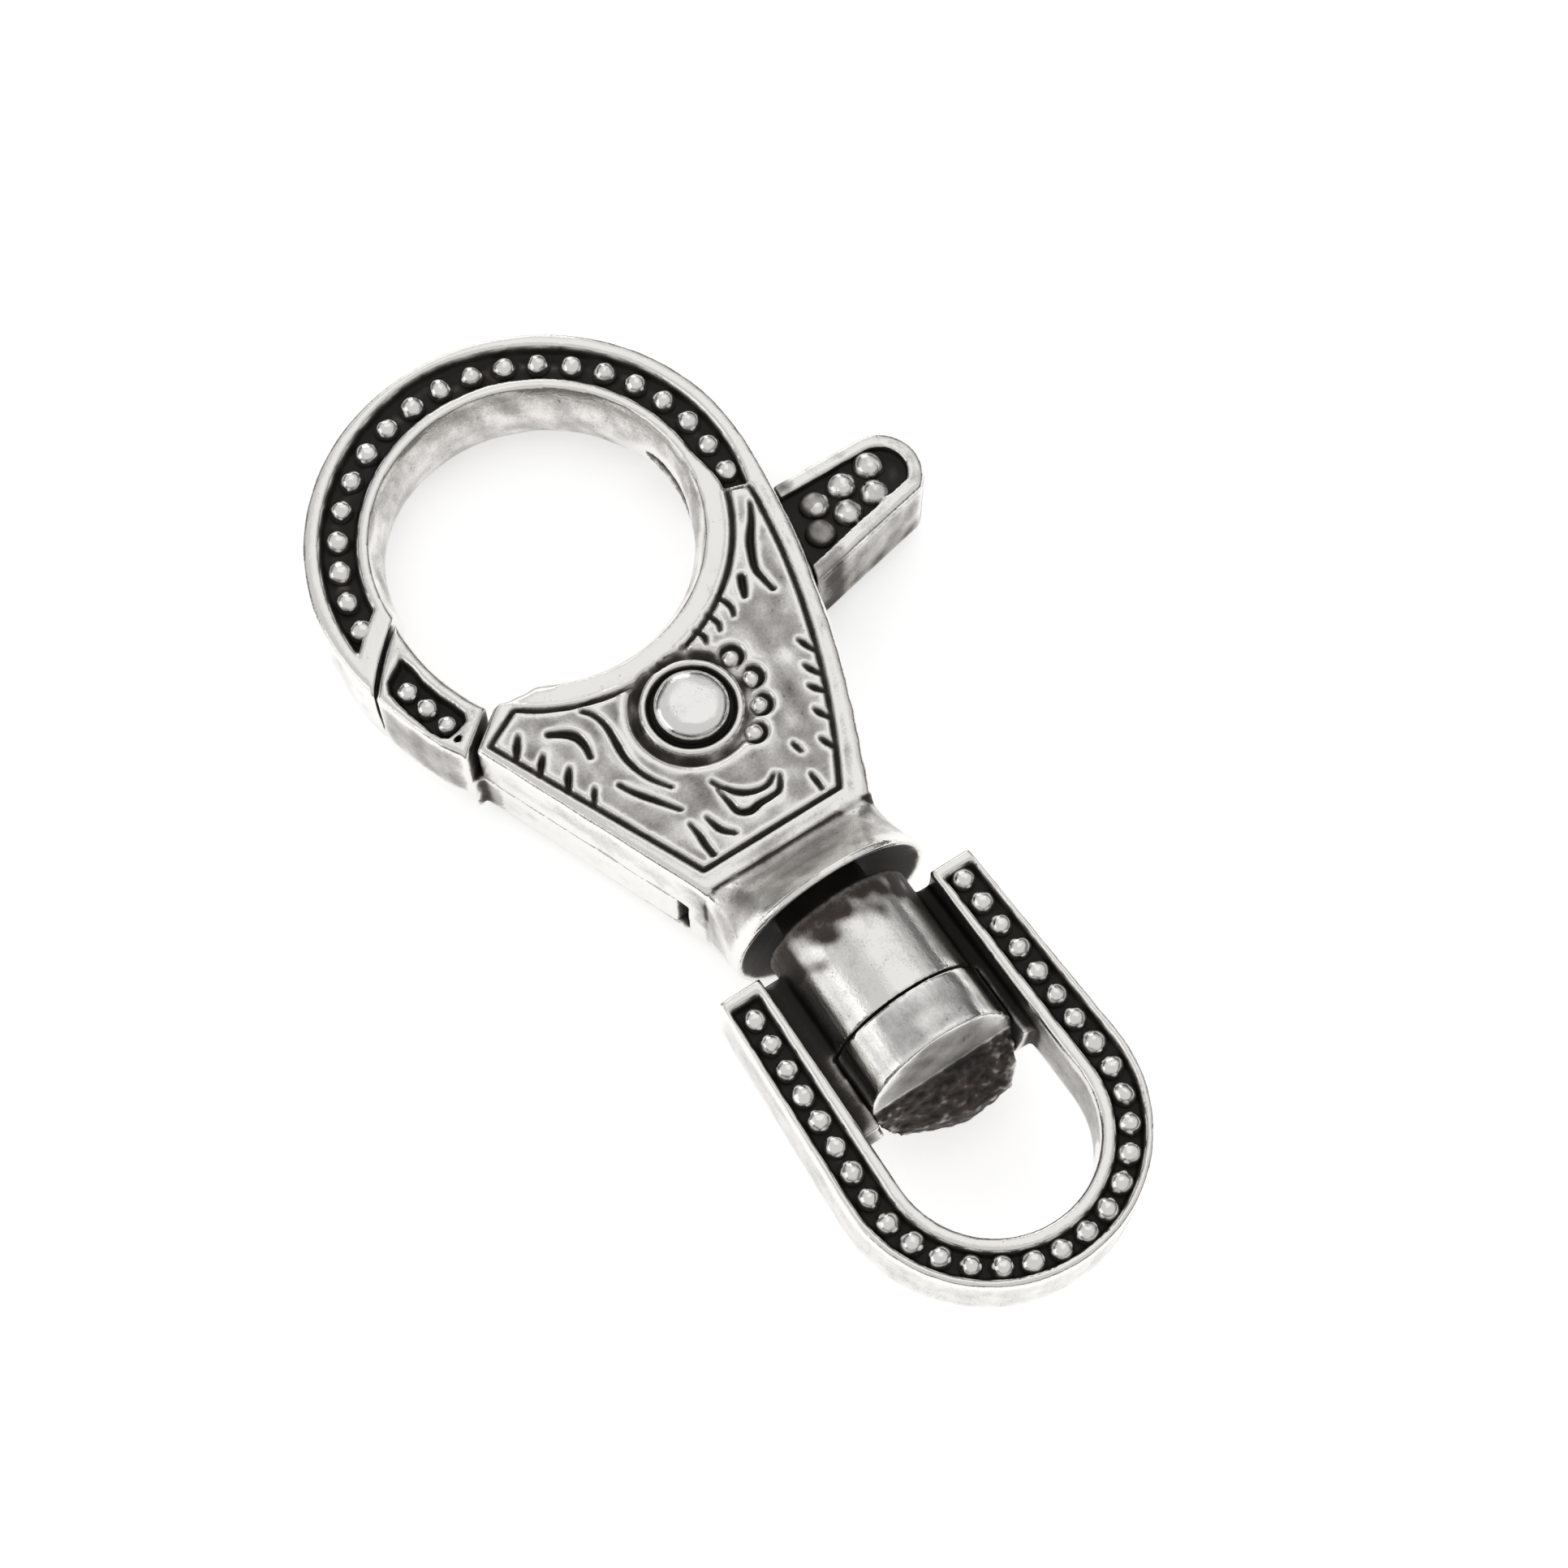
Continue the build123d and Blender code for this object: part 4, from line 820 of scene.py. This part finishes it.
def makePin():
    mesh = castFrom("swivel_pin", pin["grainSize"])
    co, edges = readPoints(mesh), readEdges(mesh)
    co = relax(co, edges, 3)
    x, y, z = toLayout(co)
    rough = rise(x, pin["ledge"] - 0.5, pin["ledge"] + 0.1) * rise(-z, -0.05, 0.4)
    bumps = np.array([noise.fractal(Vector(p) * 2600, 1.0, 2.0, 3) for p in co])
    normals = readNormals(mesh)
    push = -0.5 * pin["roughness"] * rough + pin["roughness"] * rough * bumps
    push = push + 0.012 * wavy(x, y, z, 1.6, 51) * (1 - rough)
    co = co + normals * (push / 1000)[:, None]
    # The break slants away on the left
    slant = 0.6 * rise(1.6 - y, 0, 2.6) * rise(x, pin["ledge"] + 0.1, pin["ledge"] + 1.4)
    co = co - layAlong * (slant / 1000)[:, None]
    writePoints(mesh, co)

    # The stub under the head is darkened as rough casting and painted shadow together; the end face, the top
    # and the stem inside the sleeve get painted shade, leaving the sides lighter.
    def grimeAndShade(x, y, z, normals):
        stub = rise(x, pin["ledge"] - 0.25, pin["ledge"] + 0.05) * rise(-z, -0.05, 0.25)
        cut = 0.2 * (normals[:, 0] > 0.7) * (z > 0)
        top = 0.26 - 0.16 * rise(np.abs(y - 1.05), 1.2, 2.2) + 0.06 * wavy(x, y, z, 1.2, 53)
        return 0.62 * stub + cut + top + 0.6 * rise(21.85 - x, 0, 0.05)
    soilAndShade(mesh, grimeAndShade, hollowGain=(8, 3))
    piece = addPiece("pinHead", mesh, "polishedSilver")
    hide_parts("swivel_pin")
    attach(piece, "claw")
    print("pin turned with", len(mesh.polygons), "faces")


makePin()

# Bail with the sleeve between its legs
bail = {"grainSize": 0.075, "triangles": 180000, "top": 1.65, "middleY": 0.85, "arcX": 27.0,
        "beadLine": 4.48, "swell": 0.3, "pinch": 0.29, "beadStartX": 19.25, "inner": 3.58,
        "channelInner": 4.02, "channelOuter": 4.94, "channelStart": 18.8, "depth": 0.46, "shoulder": 0.16,
        "sleeveEnd": 21.75, "sleeveRadius": 2.76, "axisY": 1.05}
bailBeads = {"count": 30, "radius": 0.43, "spread": 0.06, "dent": 0.08, "dentSize": 0.4, "seed": 31,
             "sunk": 0.38}


# Line at reach round the bail, its legs swelling and closing in
def bailRoute(reach, swell, leftStart, rightStart):
    low, high = bail["middleY"] - reach - swell, bail["middleY"] + reach + swell
    turn = arcRoute((bail["arcX"] - swell, bail["middleY"]), reach + swell, -90, 90, 60)
    return [(leftStart, low + bail["pinch"])] + turn + [(rightStart, high - bail["pinch"])]


def bailGap(x, y, reach, swell):  # how far outside such a line a point lies
    arcX, half = bail["arcX"] - swell, reach + swell
    closing = bail["pinch"] * (arcX - x) / (arcX - bail["channelStart"])
    leg = np.abs(y - bail["middleY"]) - half + closing
    return np.where(x < arcX, leg, np.hypot(x - arcX, y - bail["middleY"]) - half)


def bailEdge(x, y):  # how far inside the bail's bead channel a point lies
    outer = -bailGap(x, y, bail["channelOuter"], bail["swell"])
    edge = np.minimum(bailGap(x, y, bail["channelInner"], 0), outer)
    return np.minimum(edge, x - bail["channelStart"])


def bailGrimeAndShade(x, y, z, normals):
    dirtAndShade = (0.78 + 0.08 * wavy(x, y, z, 0.9, 62)) * rise(bailEdge(x, y), 0, 0.1) * (z > 0.9)
    axisGap = np.hypot(y - bail["axisY"], z)
    sleeve = (axisGap < bail["sleeveRadius"] + 0.05) & (x < bail["sleeveEnd"] + 0.05)
    # Painted shadow: the sleeve darkens near the collar's cup, and painted shade darkens its two sides.
    nearCup = rise(19.2 - x + 0.5 * wavy(x, y, z, 1.1, 61), 0, 1.3)
    right, left = rise(y - bail["axisY"], 1.4, 2.5), rise(bail["axisY"] - y, 2.1, 2.65)
    dirtAndShade += sleeve * np.clip(0.12 + 0.75 * nearCup + 0.55 * right + 0.6 * left, 0, 0.9)
    between = np.abs(y - bail["middleY"]) < bail["inner"] + 0.03
    # The web deep between the legs is darkened.
    web = (axisGap >= bail["sleeveRadius"] + 0.03) & between & (x < 24.9) & (z < 0.6)
    dirtAndShade += 0.68 * web
    nearMiddle = np.abs(y - bail["middleY"]) < bail["inner"] + 0.1
    # Painted shade: the inner walls darken towards the sleeve.
    inWall = nearMiddle & (z < 1.2) & (axisGap > bail["sleeveRadius"] + 0.03)
    dirtAndShade += 0.35 * (inWall & ~web) * rise(31.5 - x, 0, 4)
    outside = bailGap(x, y, bail["channelOuter"], bail["swell"]) > 0
    # Painted shade: walls facing sideways outside the bead channel are darkened.
    outWall = rise(0.6 - np.abs(normals[:, 2]), 0, 0.3) * (z < 1.5) * outside
    return dirtAndShade + 0.18 * outWall + 0.03 * wavy(x, y, z, 1.5, 63)


def makeBail():
    start = bail["channelStart"] - 0.06
    fillIn = bailRoute(bail["channelInner"] - 0.05, 0, start, start)
    fillOut = bailRoute(bail["channelOuter"] + 0.03, bail["swell"], start, start)
    mesh = castFrom("swivel_bail", bail["grainSize"], [prism(fillOut + fillIn[::-1], 1.08, bail["top"])])
    co, edges = readPoints(mesh), readEdges(mesh)
    co = relax(co, edges, 2)
    x, y, z = toLayout(co)
    edge = bailEdge(x, y)
    trough = bail["top"] + troughHeight(edge, x, y, bail["depth"], bail["shoulder"]) - z
    lower = np.where((edge > -0.05) & (z > bail["top"] - 0.06), trough, 0)
    lower = lower + 0.012 * wavy(x, y, z, 2.4, 71) * rise(z, 1.2, 1.5)
    co = co + layUp * (lower / 1000)[:, None]
    writePoints(mesh, co)
    mesh = thinOut(mesh, bail["triangles"])
    soilAndShade(mesh, bailGrimeAndShade)
    piece = addPiece("bailCasting", mesh, "castSilver")
    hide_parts("swivel_bail")
    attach(piece, "bail")
    print("bail cast with", len(mesh.polygons), "faces")


makeBail()
bailLine = bailRoute(bail["beadLine"], bail["swell"] / 2,
                     bail["beadStartX"] + 0.25, bail["beadStartX"] - 0.05)
strewBeads("bailBeads", [bailLine], bail["top"] + lay["beadLift"] - bailBeads["radius"], bailBeads, "bail")
